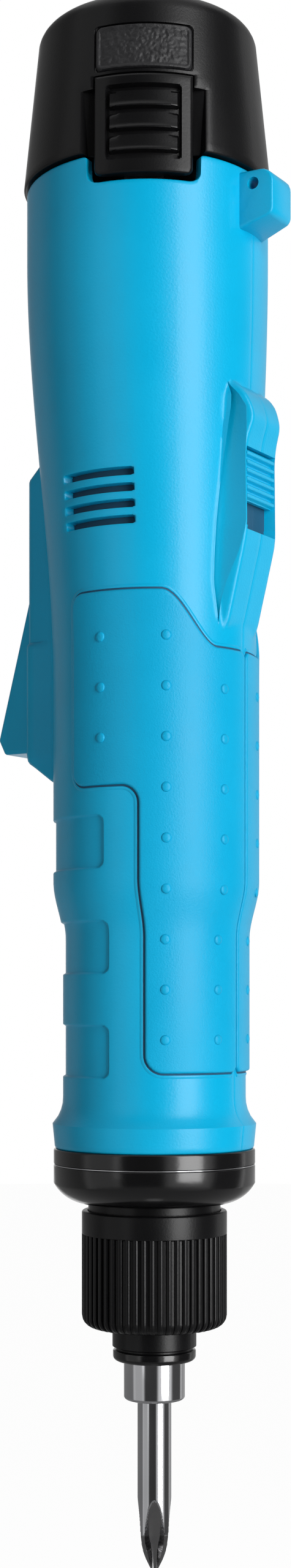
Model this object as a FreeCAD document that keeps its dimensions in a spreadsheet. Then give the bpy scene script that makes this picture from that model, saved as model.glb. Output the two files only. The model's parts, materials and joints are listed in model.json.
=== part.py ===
import FreeCAD, Part
import Sketcher
import math
import os
import re

# A cordless in-line electric screwdriver. Z is the spindle axis, the bit tip is the origin and the
# battery is at the top. X points to the back of the tool, where the hanging lug and the direction
# switch are; the start lever is at the front. Lengths are millimetres, angles are degrees.

Vec = FreeCAD.Vector
doc = FreeCAD.newDocument("InlineScrewdriver")
sizes = doc.addObject("Spreadsheet::Sheet", "Sizes")
layout = doc.addObject("Spreadsheet::Sheet", "Layout")

DRIVING = [
    ("run_gap", 0.03, "radial clearance of a turning fit"),
    ("slide_gap", 0.1, "radial clearance of a sliding fit"),
    ("seat_gap", 0.3, "clearance between pieces that only sit beside each other"),
    ("bit_diameter", 6.35, "round blade and across flats of the hex shank"),
    ("bit_exposed", 31.7, "tip to the lock sleeve"),
    ("bit_cone_length", 7.1, "tapered point"),
    ("bit_point_diameter", 1.5, "flat on the very tip"),
    ("bit_flute_length", 13.3, "cross flutes"),
    ("bit_flute_depth", 2.2, "flute bottom below the blade surface at the tip"),
    ("bit_shank_length", 24.0, "hex shank inside the socket"),
    ("bit_groove_depth", 0.95, "ball groove of the shank"),
    ("hex_gap", 0.05, "socket clearance on each flat"),
    ("sleeve_diameter", 11.45, "bit lock sleeve"),
    ("sleeve_length", 15.5, "bit lock sleeve"),
    ("sleeve_visible", 7.3, "part of the sleeve below the neck"),
    ("sleeve_travel", 2.5, "push that frees the bit"),
    ("sleeve_chamfer", 1.3, "lower edge of the sleeve"),
    ("sleeve_land", 8.9, "length of the close bore"),
    ("sleeve_relief", 0.65, "depth of the ball relief and of the spring chamber"),
    ("spindle_nose_diameter", 9.0, "spindle inside the sleeve"),
    ("spindle_diameter", 10.0, "spindle in its bushes"),
    ("spindle_tail_diameter", 8.0, "spindle end in the carrier"),
    ("spindle_inset", 1.4, "sleeve edge to spindle end"),
    ("ball_diameter", 2.2, "lock balls"),
    ("ball_height", 5.5, "spindle end to ball centres"),
    ("clip_height", 1.0, "snap ring over the sleeve spring"),
    ("sleeve_wire", 0.5, "sleeve spring wire"),
    ("sleeve_turns", 5, "sleeve spring turns"),
    ("neck_tip_diameter", 15.7, "thin part of the neck"),
    ("neck_tip_visible", 6.3, "neck end to the torque collar"),
    ("lip_height", 2.1, "end ring of the neck"),
    ("lip_diameter", 15.5, "end ring of the neck"),
    ("lip_chamfer", 0.8, "end ring of the neck"),
    ("lip_groove", 0.3, "groove over the end ring"),
    ("neck_bore", 12.4, "bush seat"),
    ("neck_diameter", 24.7, "wide part of the neck"),
    ("neck_visible", 1.4, "torque collar to the nose cap"),
    ("neck_wall", 1.5, "wide skirt of the neck"),
    ("neck_skirt", 11.8, "skirt below the web"),
    ("neck_web_below", 2.2, "web under the nose cap"),
    ("neck_flange_diameter", 30.0, "flange held by the nose cap"),
    ("neck_flange_height", 2.0, "flange held by the nose cap"),
    ("bush_height", 8.0, "spindle bushes"),
    ("bush_spacing", 20.0, "lower bush to upper bush"),
    ("collar_diameter", 27.1, "torque collar"),
    ("collar_length", 21.7, "torque collar"),
    ("collar_band", 4.6, "plain upper band"),
    ("collar_floor", 3.3, "lower wall"),
    ("collar_round", 2.3, "lower edge"),
    ("collar_ribs", 54, "ribs of the knurl"),
    ("rib_depth", 0.55, "knurl depth"),
    ("rib_gap", 0.8, "width of a knurl groove"),
    ("washer_height", 1.2, "thrust washer and spring seat"),
    ("clutch_wire", 1.6, "torque spring wire"),
    ("clutch_turns", 6, "torque spring turns"),
    ("push_pin_diameter", 2.4, "pins from the spring to the clutch ring"),
    ("push_pins", 3, "pins from the spring to the clutch ring"),
    ("nose_wall", 3.7, "nose cap round the neck flange"),
    ("clutch_room", 0.3, "nose cap round the clutch ring"),
    ("nose_cap_length", 7.2, "nose cap"),
    ("nose_floor", 2.0, "nose cap wall round the neck"),
    ("nose_edge", 3.8, "height of the rounded lower edge"),
    ("nose_edge_radius", 7.0, "rounded lower edge"),
    ("nose_flange_length", 2.7, "ring over the nose cap"),
    ("nose_bevel", 0.25, "bevels that make the parting line"),
    ("nose_gap", 0.3, "shadow gap under the housing"),
    ("gear_module", 0.6, "gear teeth"),
    ("sun_teeth", 12, "sun gears"),
    ("planet_teeth", 15, "planet gears"),
    ("planets", 3, "planets in a stage"),
    ("gear_face", 6.0, "tooth length of the planets"),
    ("gear_gap", 0.4, "end clearance of the gears"),
    ("tooth_addendum", 0.75, "tooth height over the pitch circle, in modules"),
    ("tooth_dedendum", 1.0, "tooth depth under the pitch circle, in modules"),
    ("tooth_space", 0.93, "half width of a tooth space at the pitch circle, in modules"),
    ("ring_wall", 1.5, "ring gear outside its teeth"),
    ("clutch_gap", 0.7, "neck to clutch ring"),
    ("carrier_height", 3.2, "planet carriers"),
    ("carrier_rim", 1.6, "carrier outside the planet pins"),
    ("planet_pin_diameter", 3.0, "planet pins"),
    ("stage_gap", 2.0, "planets to the next carrier"),
    ("motor_plate_height", 2.5, "plate between gears and motor"),
    ("motor_diameter", 28.0, "motor can"),
    ("motor_length", 42.0, "motor can"),
    ("motor_wall", 1.2, "motor can"),
    ("motor_shaft_diameter", 4.0, "motor shaft"),
    ("motor_bearing_diameter", 9.0, "motor bearings"),
    ("motor_bearing_height", 4.0, "motor bearings"),
    ("magnet_diameter", 12.6, "rotor magnet"),
    ("magnet_length", 27.0, "rotor magnet"),
    ("air_gap", 0.5, "rotor to stator"),
    ("stator_length", 29.0, "stator core"),
    ("stator_slots", 6, "winding slots of the stator"),
    ("slot_width", 3.2, "winding slots of the stator"),
    ("slot_tip", 1.0, "stator inside its winding slots"),
    ("slot_yoke", 1.5, "stator outside its winding slots"),
    ("flange_diameter", 38.0, "rim at the foot of the housing"),
    ("flange_foot_diameter", 37.1, "foot of the housing"),
    ("flange_height", 4.6, "foot to rim"),
    ("flare_height", 5.0, "rim to the slim grip"),
    ("flare_radius", 7.0, "hollow over the rim"),
    ("slim_diameter", 34.1, "slim lower grip"),
    ("slim_length", 29.3, "slim lower grip"),
    ("swell_height", 10.5, "slim grip to full grip"),
    ("grip_diameter", 37.7, "full grip"),
    ("grip_length", 36.5, "full grip"),
    ("taper_height", 79.0, "full grip to the battery end"),
    ("head_diameter", 45.0, "battery end of the housing"),
    ("head_shift", 1.5, "battery end moves to the front by this"),
    ("head_length", 12.6, "straight battery end"),
    ("wall", 2.0, "housing wall"),
    ("finger_depth", 0.5, "finger patches"),
    ("finger_height", 9.4, "finger patches"),
    ("finger_pitch", 18.9, "finger patches"),
    ("finger_first", 13.5, "foot of the housing to the lowest finger patch"),
    ("finger_count", 3, "finger patches"),
    ("finger_edge", 0.8, "back edge of the patches"),
    ("pad_proud", 0.7, "soft grip above the housing"),
    ("pad_sunk", 0.8, "soft grip below the housing surface"),
    ("pad_bottom", 14.4, "foot of the housing to the soft grip"),
    ("pad_step", 66.0, "foot of the housing to the step of the soft grip"),
    ("pad_top", 100.6, "foot of the housing to its upper edge"),
    ("pad_drop", 9.8, "upper edge to its edge at the back"),
    ("pad_front", 5.8, "front edge of the upper lobe, before the axis"),
    ("pad_back", 7.5, "front edge of the lower lobe, behind the axis"),
    ("pad_slope_start", 11.0, "upper edge starts to drop"),
    ("pad_slope_end", 17.5, "upper edge has dropped"),
    ("pad_corner", 2.0, "corners of the soft grip"),
    ("vent_height", 1.5, "vent slots"),
    ("vent_pitch", 2.83, "vent slots"),
    ("vent_count", 4, "vent slots"),
    ("vent_first", 113.0, "foot of the housing to the lowest vent"),
    ("vent_front", 7.3, "vents reach this far before the axis"),
    ("vent_back", 7.3, "vents reach this far behind the axis"),
    ("guard_bottom", 68.6, "foot of the housing to the foot of the lever guard"),
    ("guard_height", 61.6, "lever guard"),
    ("guard_reach", 24.4, "lever guard before the axis"),
    ("guard_width", 14.0, "lever guard"),
    ("guard_top_slope", 4.0, "sloped upper end"),
    ("guard_foot_slope", 4.0, "sloped lower end"),
    ("guard_round", 1.6, "edges of the guard"),
    ("lever_width", 9.4, "start lever"),
    ("lever_side_gap", 0.4, "lever beside the guard"),
    ("lever_pivot_down", 25.4, "top of the guard to the lever pin"),
    ("lever_pivot_reach", 20.6, "lever pin before the axis"),
    ("lever_pin_diameter", 2.5, "lever pin"),
    ("lever_pin_length", 12.8, "lever pin"),
    ("lever_drop", 30.0, "pin to the end of the lever"),
    ("lever_reach", 32.6, "end of the lever before the axis"),
    ("lever_rise", 3.0, "pin to the head of the lever"),
    ("lever_lip", 2.8, "thickness of the end"),
    ("lever_rub_drop", 20.0, "pin to the switch plunger"),
    ("lever_rub_height", 5.0, "pad that meets the plunger"),
    ("lever_rub_reach", 16.4, "pad before the axis"),
    ("plunger_diameter", 2.4, "switch plunger"),
    ("plunger_length", 7.0, "switch plunger"),
    ("plunger_gap", 0.5, "lever pad to plunger"),
    ("switch_depth", 12.0, "start switch from front to back"),
    ("switch_width", 6.4, "start switch"),
    ("switch_height", 20.0, "start switch"),
    ("switch_front", 11.6, "start switch before the axis"),
    ("switch_hold", 6.0, "ribs that hold the start switch, from front to back"),
    ("lever_wire", 0.6, "lever spring"),
    ("lever_coil_diameter", 4.4, "lever spring"),
    ("lever_turns", 4, "lever spring"),
    ("lever_spring_drop", 11.0, "pin to the lever spring"),
    ("boss_top", 137.8, "foot of the housing to the top of the switch boss"),
    ("boss_length", 42.8, "switch boss"),
    ("boss_peak", 23.8, "boss behind the axis at its hump"),
    ("boss_low", 22.8, "boss behind the axis below the slider"),
    ("boss_width", 14.0, "switch boss"),
    ("boss_bevel", 1.8, "long edges of the boss"),
    ("slider_length", 9.2, "direction slider"),
    ("slider_width", 10.0, "direction slider"),
    ("slider_face", 22.7, "slider ridges behind the axis"),
    ("slider_plate", 0.9, "slider without its ridges"),
    ("slider_down", 11.4, "top of the boss to the slider"),
    ("slider_travel", 5.0, "slider movement"),
    ("slider_ridges", 6, "ridges of the slider"),
    ("ridge_height", 0.7, "ridges of the slider"),
    ("stem_width", 4.0, "stem of the slider"),
    ("stem_height", 4.0, "stem of the slider"),
    ("stem_reach", 13.0, "inner end of the stem behind the axis"),
    ("reverser_depth", 6.0, "direction switch from front to back"),
    ("reverser_width", 9.0, "direction switch"),
    ("reverser_height", 13.0, "direction switch"),
    ("reverser_back", 14.5, "back of the direction switch behind the axis"),
    ("reverser_foot", 2.0, "direction switch below the stem at its lowest"),
    ("reverser_hold", 4.0, "ribs that hold the direction switch, from front to back"),
    ("lug_width", 8.4, "hanging lug"),
    ("lug_reach", 27.0, "hanging lug behind the axis"),
    ("lug_height", 10.2, "hanging lug"),
    ("lug_down", 1.1, "hanging lug below the upper rim"),
    ("lug_slope", 2.0, "sloped lower side of the lug"),
    ("lug_round", 2.2, "outer upper edge of the lug"),
    ("lug_hole_diameter", 2.2, "cord hole of the lug"),
    ("lug_hole_reach", 23.2, "cord hole behind the axis"),
    ("lug_hole_down", 2.4, "cord hole below the top of the lug"),
    ("lug_tail", 1.0, "lug plate inside the housing"),
    ("lug_tail_width", 11.0, "lug plate inside the housing"),
    ("board_behind", 5.0, "control board behind the axis"),
    ("board_thickness", 1.6, "control board"),
    ("board_width", 24.0, "control board"),
    ("board_height", 34.0, "control board"),
    ("board_down", 1.6, "top of the start switch to the foot of the board"),
    ("board_margin", 4.0, "edge of the board to its parts"),
    ("chip_size", 5.0, "driver chips"),
    ("chip_spacing", 8.6, "driver chips, middle to middle"),
    ("chip_height", 1.2, "chips over the board"),
    ("control_chip_size", 7.0, "control chip"),
    ("capacitor_diameter", 5.0, "capacitor"),
    ("capacitor_length", 6.0, "capacitor"),
    ("plug_depth", 4.0, "plug socket over the board"),
    ("plug_width", 7.0, "plug socket"),
    ("plug_height", 5.0, "plug socket"),
    ("rail_depth", 4.6, "board rails"),
    ("screw_diameter", 2.6, "housing screws"),
    ("screw_head_diameter", 5.0, "housing screws"),
    ("screw_head_height", 1.8, "housing screws"),
    ("screw_length", 16.0, "housing screws"),
    ("screw_boss_diameter", 6.0, "screw bosses"),
    ("low_screw_up", 4.6, "motor end to the lower screws"),
    ("low_screw_reach", 11.5, "lower screws from the axis"),
    ("high_screw_up", 130.6, "foot of the housing to the upper screws"),
    ("high_screw_reach", 14.0, "upper screws from the axis"),
    ("terminal_height", 4.0, "terminal block"),
    ("terminal_diameter", 33.0, "terminal block"),
    ("blade_length", 12.0, "terminal blades"),
    ("blade_width", 5.0, "terminal blades"),
    ("blade_thickness", 0.8, "terminal blades"),
    ("blade_spacing", 7.0, "terminal blades"),
    ("blade_gap", 0.4, "blade slots of the battery"),
    ("battery_depth", 38.1, "battery inside the housing"),
    ("battery_gap", 0.5, "shadow gap over the housing"),
    ("battery_height", 29.9, "battery over the housing"),
    ("battery_foot_diameter", 46.2, "battery at the housing"),
    ("battery_top_diameter", 40.7, "battery under its rounded edge"),
    ("battery_edge", 3.4, "rounded upper edge"),
    ("battery_wall", 2.0, "battery cap"),
    ("deck_height", 2.0, "plate between cap and stem"),
    ("cell_diameter", 14.2, "battery cells"),
    ("cell_length", 49.5, "battery cells"),
    ("cell_gap", 0.2, "cell to cell"),
    ("stem_wall", 0.9, "battery stem"),
    ("latch_angle", 60.0, "latches from the back of the tool"),
    ("latch_width", 17.5, "latch buttons"),
    ("latch_height", 18.1, "latch buttons"),
    ("latch_below", 4.1, "latch below the housing rim"),
    ("latch_thickness", 2.6, "latch buttons at their lower end"),
    ("latch_back_lean", 1.7, "lean of the back of the latch over its height"),
    ("latch_proud", 0.4, "latch over the battery surface"),
    ("latch_frame", 1.9, "frame of the latch"),
    ("latch_window_depth", 1.2, "hollow of the latch"),
    ("latch_bars", 3, "bars of the latch"),
    ("latch_bar_height", 2.7, "bars of the latch"),
    ("latch_pin_diameter", 1.6, "latch pins"),
    ("latch_barrel_diameter", 3.0, "hinge barrel behind the latch"),
    ("latch_barrel_width", 12.0, "hinge barrel behind the latch"),
    ("latch_barrel_back", 0.6, "pin behind the floor of the recess"),
    ("latch_barrel_down", 2.0, "pin below the top of the latch"),
    ("recess_side", 2.3, "recess beside the latch"),
    ("recess_above", 12.0, "recess over the housing rim"),
    ("recess_back", 4.4, "recess behind the battery surface"),
    ("recess_wall", 1.2, "lining of the recess"),
    ("notch_side", 1.4, "rim notch beside the latch"),
    ("notch_below", 0.9, "rim notch below the latch"),
    ("notch_round", 2.0, "rim notch corners"),
    ("spring_strip", 0.5, "latch springs"),
    ("spring_width", 7.0, "latch springs"),
    ("spring_bump", 0.7, "latch springs into the housing wall"),
    ("spring_tail", 7.0, "latch springs below the rim"),
    ("label_width", 17.2, "bare pads over the latches"),
    ("label_height", 8.2, "bare pads over the latches"),
    ("label_gap", 1.0, "latch to pad"),
    ("label_proud", 0.2, "pads over the battery surface"),
    ("label_thickness", 0.8, "bare pads over the latches"),
]

STACKED = [
    ("sleeve_bottom", "bit_exposed"),
    ("sleeve_top", "sleeve_bottom + sleeve_length"),
    ("spindle_bottom", "sleeve_bottom + spindle_inset"),
    ("ball_level", "spindle_bottom + ball_height"),
    ("land_top", "sleeve_bottom + sleeve_land"),
    ("clip_bottom", "sleeve_top - seat_gap"),
    ("spindle_step", "clip_bottom + clip_height"),
    ("neck_bottom", "sleeve_bottom + sleeve_visible"),
    ("lip_top", "neck_bottom + lip_height"),
    ("collar_bottom", "neck_bottom + neck_tip_visible"),
    ("collar_top", "collar_bottom + collar_length"),
    ("washer_bottom", "collar_bottom + collar_floor"),
    ("washer_top", "washer_bottom + washer_height"),
    ("nose_bottom", "collar_top + neck_visible"),
    ("web_bottom", "nose_bottom - neck_web_below"),
    ("seat_top", "web_bottom - gear_gap"),
    ("seat_bottom", "seat_top - washer_height"),
    ("nose_floor_top", "nose_bottom + nose_floor"),
    ("nose_radius", "neck_flange_diameter / 2 + slide_gap + nose_wall"),
    ("neck_top", "nose_floor_top + neck_flange_height"),
    ("nose_cap_top", "nose_bottom + nose_cap_length"),
    ("nose_flange_top", "nose_cap_top + nose_flange_length"),
    ("housing_bottom", "nose_flange_top + nose_gap"),
    ("upper_bush_bottom", "neck_top - bush_height"),
    ("lower_bush_bottom", "upper_bush_bottom - bush_spacing + bush_height"),
    ("spring_circle", "(neck_tip_diameter + neck_diameter - 2 * neck_wall) / 4"),
    ("washer_inner", "neck_tip_diameter / 2 + slide_gap"),
    ("washer_outer", "neck_diameter / 2 - neck_wall - slide_gap"),
    ("ring_teeth", "sun_teeth + 2 * planet_teeth"),
    ("planet_circle", "gear_module * (sun_teeth + planet_teeth) / 2"),
    ("ring_radius", "gear_module * (ring_teeth / 2 + tooth_dedendum) + ring_wall"),
    ("clutch_ring_bottom", "neck_top + clutch_gap"),
    ("carrier_bottom", "clutch_ring_bottom + gear_gap"),
    ("carrier_top", "carrier_bottom + carrier_height"),
    ("carrier_radius", "planet_circle + planet_pin_diameter / 2 + carrier_rim"),
    ("out_planet_bottom", "carrier_top + gear_gap"),
    ("out_planet_top", "out_planet_bottom + gear_face"),
    ("first_carrier_bottom", "out_planet_top + stage_gap"),
    ("first_carrier_top", "first_carrier_bottom + carrier_height"),
    ("clutch_ring_top", "out_planet_top + stage_gap / 2"),
    ("rear_ring_bottom", "clutch_ring_top + gear_gap"),
    ("in_planet_bottom", "first_carrier_top + gear_gap"),
    ("in_planet_top", "in_planet_bottom + gear_face"),
    ("motor_plate_bottom", "in_planet_top + stage_gap"),
    ("motor_bottom", "motor_plate_bottom + motor_plate_height"),
    ("motor_top", "motor_bottom + motor_length"),
    ("flare_top", "housing_bottom + flange_height + flare_height"),
    ("slim_top", "flare_top + slim_length"),
    ("swell_top", "slim_top + swell_height"),
    ("taper_bottom", "swell_top + grip_length"),
    ("taper_top", "taper_bottom + taper_height"),
    ("rim", "taper_top + head_length"),
    ("guard_foot", "housing_bottom + guard_bottom"),
    ("guard_top", "guard_foot + guard_height"),
    ("lever_pivot", "guard_top - lever_pivot_down"),
    ("lever_end", "lever_pivot - lever_drop"),
    ("plunger_level", "lever_pivot - lever_rub_drop"),
    ("plunger_front", "lever_rub_reach - plunger_gap"),
    ("switch_bottom", "plunger_level - 0.3 * switch_height"),
    ("spring_level", "lever_pivot - lever_spring_drop"),
    ("board_bottom", "switch_bottom - board_down"),
    ("boss_crown", "housing_bottom + boss_top"),
    ("slider_top", "boss_crown - slider_down"),
    ("slider_bottom", "slider_top - slider_length"),
    ("stem_level", "slider_bottom + slider_length / 2 - stem_height / 2"),
    ("reverser_bottom", "stem_level - slider_travel - reverser_foot"),
    ("battery_foot", "rim + battery_gap"),
    ("battery_top", "rim + battery_height"),
    ("stem_bottom", "rim - battery_depth"),
    ("terminal_top", "stem_bottom - seat_gap"),
    ("terminal_bottom", "terminal_top - terminal_height"),
    ("cell_bottom", "stem_bottom + 2 * stem_wall + blade_thickness"),
    ("cell_circle", "(cell_diameter + cell_gap) / sqrt(3)"),
    ("lobe_radius", "cell_diameter / 2 + cell_gap + stem_wall"),
    ("latch_bottom", "rim - latch_below"),
    ("latch_top", "latch_bottom + latch_height"),
    ("label_bottom", "latch_top + label_gap"),
    ("low_screws", "motor_top + low_screw_up"),
    ("high_screws", "housing_bottom + high_screw_up"),
]

owners = {}
for row, (alias, value, note) in enumerate(DRIVING, 1):
    sizes.set(f"A{row}", note)
    sizes.set(f"B{row}", str(value))
    sizes.setAlias(f"B{row}", alias)
    owners[alias] = "Sizes"


def bound(text):
    """The text of a formula with each size named through its sheet."""
    return re.sub(r"[a-z][a-z_]+", lambda word: named(word.group(0)), text)


def named(word):
    if word in owners:
        return owners[word] + "." + word
    return word


for row, (alias, formula) in enumerate(STACKED, 1):
    layout.set(f"A{row}", formula)
    layout.set(f"B{row}", "=" + bound(formula))
    layout.setAlias(f"B{row}", alias)
    owners[alias] = "Layout"
doc.recompute()


def num(text):
    """The present value of a formula of named sizes."""
    return float(sizes.evalExpression(bound(text)))


def whole(text):
    return int(round(num(text)))


def role(body, name):
    return next(item for item in body.Origin.OriginFeatures if item.Role == name)


def sketch_on(body, plane, name, level=None, turn=None):
    """A sketch of the body on one of its base planes, moved along Z by a formula."""
    sketch = body.newObject("Sketcher::SketchObject", name)
    sketch.AttachmentSupport = [(role(body, plane), "")]
    sketch.MapMode = "FlatFace"
    if turn is not None:
        sketch.AttachmentOffset = FreeCAD.Placement(Vec(), FreeCAD.Rotation(Vec(0, 0, 1), turn))
    if level is not None:
        sketch.setExpression("AttachmentOffset.Base.z", bound(level))
    return sketch


def tie(sketch, constraint, text):
    index = sketch.addConstraint(constraint)
    sketch.setExpression(f"Constraints[{index}]", bound(text))


def arc_between(start, end, radius):
    """The shorter arc from start to end; a positive radius turns to the left."""
    chord = end - start
    half = chord.Length / 2
    rise = math.sqrt(max(radius * radius - half * half, 0.0))
    left = Vec(-chord.y, chord.x, 0).normalize()
    side = 1 if radius > 0 else -1
    centre = (start + end) * 0.5 + left * rise * side
    middle = centre + ((start + end) * 0.5 - centre).normalize() * abs(radius)
    return Part.Arc(start, middle, end)


def outline(sketch, corners):
    """A closed outline whose corners are formulas; a third formula is the radius of the next side."""
    spots = [Vec(num(corner[0]), num(corner[1]), 0) for corner in corners]
    count = len(corners)
    heads = []
    tails = []
    for side, corner in enumerate(corners):
        start, end = spots[side], spots[(side + 1) % count]
        if len(corner) == 2:
            sketch.addGeometry(Part.LineSegment(start, end), False)
            forward = True
        else:
            sketch.addGeometry(arc_between(start, end, num(corner[2])), False)
            forward = num(corner[2]) > 0
        heads.append(1 if forward else 2)
        tails.append(2 if forward else 1)
    for side in range(count):
        following = (side + 1) % count
        sketch.addConstraint(
            Sketcher.Constraint("Coincident", side, tails[side], following, heads[following])
        )
    for side, corner in enumerate(corners):
        spot = spots[side]
        tie(sketch, Sketcher.Constraint("DistanceX", -1, 1, side, heads[side], spot.x), corner[0])
        tie(sketch, Sketcher.Constraint("DistanceY", -1, 1, side, heads[side], spot.y), corner[1])
        if len(corner) == 3:
            radius = abs(num(corner[2]))
            tie(sketch, Sketcher.Constraint("Radius", side, radius), f"abs({corner[2]})")


def circle(sketch, radius, x="0", y="0"):
    place = Vec(num(x), num(y), 0)
    index = sketch.addGeometry(Part.Circle(place, Vec(0, 0, 1), num(radius)), False)
    tie(sketch, Sketcher.Constraint("Radius", index, num(radius)), radius)
    tie(sketch, Sketcher.Constraint("DistanceX", -1, 1, index, 3, place.x), x)
    tie(sketch, Sketcher.Constraint("DistanceY", -1, 1, index, 3, place.y), y)


def new_body(name):
    return doc.addObject("PartDesign::Body", name)


def turned(name, corners):
    """A body turned round Z from an outline of radius and height."""
    body = new_body(name)
    sketch = sketch_on(body, "XZ_Plane", name + "_outline")
    outline(sketch, corners)
    turn = body.newObject("PartDesign::Revolution", name + "_turn")
    turn.Profile = sketch
    turn.ReferenceAxis = (sketch, ["V_Axis"])
    turn.Angle = 360
    body.Tip = turn
    return body


def ring(name, inner, outer, bottom, top):
    return turned(name, [(inner, bottom), (outer, bottom), (outer, top), (inner, top)])


def padded(body, name, level, height, draw):
    sketch = sketch_on(body, "XY_Plane", name + "_sketch", level)
    draw(sketch)
    pad = body.newObject("PartDesign::Pad", name)
    pad.Profile = sketch
    pad.setExpression("Length", bound(height))
    body.Tip = pad
    return pad


def pocketed(body, name, level, height, draw, turn=None):
    """A pocket that starts at a level and cuts upward."""
    sketch = sketch_on(body, "XY_Plane", name + "_sketch", level, turn)
    draw(sketch)
    pocket = body.newObject("PartDesign::Pocket", name)
    pocket.Profile = sketch
    pocket.Reversed = True
    pocket.setExpression("Length", bound(height))
    body.Tip = pocket
    return pocket


def repeated(body, feature, count):
    doc.recompute()
    pattern = body.newObject("PartDesign::PolarPattern", feature.Name + "_round")
    pattern.Originals = [feature]
    pattern.Axis = (role(body, "Z_Axis"), [""])
    pattern.Angle = 360
    pattern.setExpression("Occurrences", bound(count))
    body.Tip = pattern
    return pattern


def hexagon(sketch, flat):
    corners = []
    for step in range(6):
        angle = math.radians(60 * step)
        corners.append(
            (f"({flat}) / sqrt(3) * {math.cos(angle):.9f}", f"({flat}) / sqrt(3) * {math.sin(angle):.9f}")
        )
    outline(sketch, corners)


def tooth_space(sketch, teeth, inward):
    """One space between gear teeth, on the X axis; inward teeth belong to a ring gear."""
    pitch = f"gear_module * ({teeth}) / 2"
    slope = "gear_module * 0.40"
    wide = f"gear_module * tooth_space + {slope} * 1.2"
    narrow = f"gear_module * tooth_space - {slope} * tooth_dedendum"
    if inward:
        mouth = f"{pitch} - gear_module * 1.2"
        floor = f"{pitch} + gear_module * tooth_dedendum"
    else:
        mouth = f"{pitch} + gear_module * 1.2"
        floor = f"{pitch} - gear_module * tooth_dedendum"
    outline(
        sketch,
        [
            (floor, f"-({narrow})"),
            (mouth, f"-({wide})"),
            (mouth, wide),
            (floor, narrow),
        ],
    )


def cut_teeth(body, name, teeth, level, height, inward=False, turn=0.0):
    space = pocketed(body, name, level, height, lambda s: tooth_space(s, teeth, inward), turn)
    return repeated(body, space, teeth)


def tip_radius(teeth):
    return f"gear_module * (({teeth}) / 2 + tooth_addendum)"


def block(name, x, y, z, long, wide, high):
    """A box with its least corner at x, y, z."""
    item = doc.addObject("Part::Box", name)
    for key, text in (("Length", long), ("Width", wide), ("Height", high)):
        item.setExpression(key, bound(text))
    for key, text in (("x", x), ("y", y), ("z", z)):
        item.setExpression("Placement.Base." + key, bound(text))
    return item


def rod(name, radius, height, x, y, z, axis=Vec(0, 0, 1)):
    item = doc.addObject("Part::Cylinder", name)
    item.Placement = FreeCAD.Placement(Vec(), FreeCAD.Rotation(Vec(0, 0, 1), axis))
    item.setExpression("Radius", bound(radius))
    item.setExpression("Height", bound(height))
    for key, text in (("x", x), ("y", y), ("z", z)):
        item.setExpression("Placement.Base." + key, bound(text))
    return item


def minus(name, base, *tools):
    for step, tool in enumerate(tools):
        last = step == len(tools) - 1
        item = doc.addObject("Part::Cut", name if last else f"{name}_cut{step}")
        item.Base = base
        item.Tool = tool
        base = item
    return base


def plus(name, *items):
    item = doc.addObject("Part::MultiFuse", name)
    item.Shapes = list(items)
    item.Refine = True
    return item


def group(name, *items):
    item = doc.addObject("Part::Compound", name)
    item.Links = list(items)
    return item


def shaped(name, shape):
    item = doc.addObject("Part::Feature", name)
    item.Shape = shape
    return item


def coil(name, radius, wire, bottom, top, turns):
    """An eight-sided wire wound round Z between two levels."""
    pitch = (top - bottom - wire) / turns
    path = Part.Wire(Part.makeHelix(pitch, pitch * turns, radius).Edges)
    corners = []
    for step in range(8):
        angle = math.radians(45 * step + 22.5)
        corners.append(Vec(radius + wire / 2 * math.cos(angle), 0, wire / 2 * math.sin(angle)))
    section = Part.makePolygon(corners + corners[:1])
    solid = path.makePipeShell([section], True, True)
    solid.translate(Vec(0, 0, bottom + wire / 2))
    return shaped(name, solid)


def side_prism(corners, width):
    """A prism across Y from an outline in X and Z."""
    wire = Part.makePolygon([Vec(x, -width / 2, z) for x, z in corners + corners[:1]])
    return Part.Face(wire).extrude(Vec(0, width, 0))


def edges_where(shape, test):
    return [edge for edge in shape.Edges if test(edge)]


nodes = {}

# Bit and lock sleeve.
blade = turned(
    "blade_blank",
    [
        ("0", "0"),
        ("bit_point_diameter / 2", "0"),
        ("bit_diameter / 2", "bit_cone_length"),
        ("bit_diameter / 2", "spindle_bottom"),
        ("0", "spindle_bottom"),
    ],
)
padded(blade, "hex_shank", "spindle_bottom", "bit_shank_length", lambda s: hexagon(s, "bit_diameter"))
groove_cut = ring(
    "ball_groove",
    "bit_diameter / 2 - bit_groove_depth",
    "bit_diameter",
    "ball_level - ball_diameter / 2 - slide_gap",
    "ball_level + ball_diameter / 2 + slide_gap",
)
flutes = []
flute_lean = math.degrees(math.atan2(num("bit_flute_depth + slide_gap"), num("bit_flute_length")))
for quarter in range(4):
    flute = block(f"flute_{quarter}", "0", "0", "0", "bit_diameter", "bit_diameter", "2 * bit_flute_length")
    heading = math.radians(45 + 90 * quarter)
    out = Vec(math.cos(heading), math.sin(heading), 0)
    lean = FreeCAD.Rotation(Vec(0, 0, 1).cross(out), flute_lean)
    spin = FreeCAD.Rotation(Vec(0, 0, 1), 90 * quarter)
    start = out * num("bit_diameter / 2 - bit_flute_depth")
    flute.setExpression("Placement.Base.x", None)
    flute.setExpression("Placement.Base.y", None)
    flute.setExpression("Placement.Base.z", None)
    flute.Placement = FreeCAD.Placement(start - Vec(0, 0, num("slide_gap")), lean.multiply(spin))
    flutes.append(flute)
nodes["screwdriver_bit"] = minus("screwdriver_bit", blade, groove_cut, *flutes)

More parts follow.
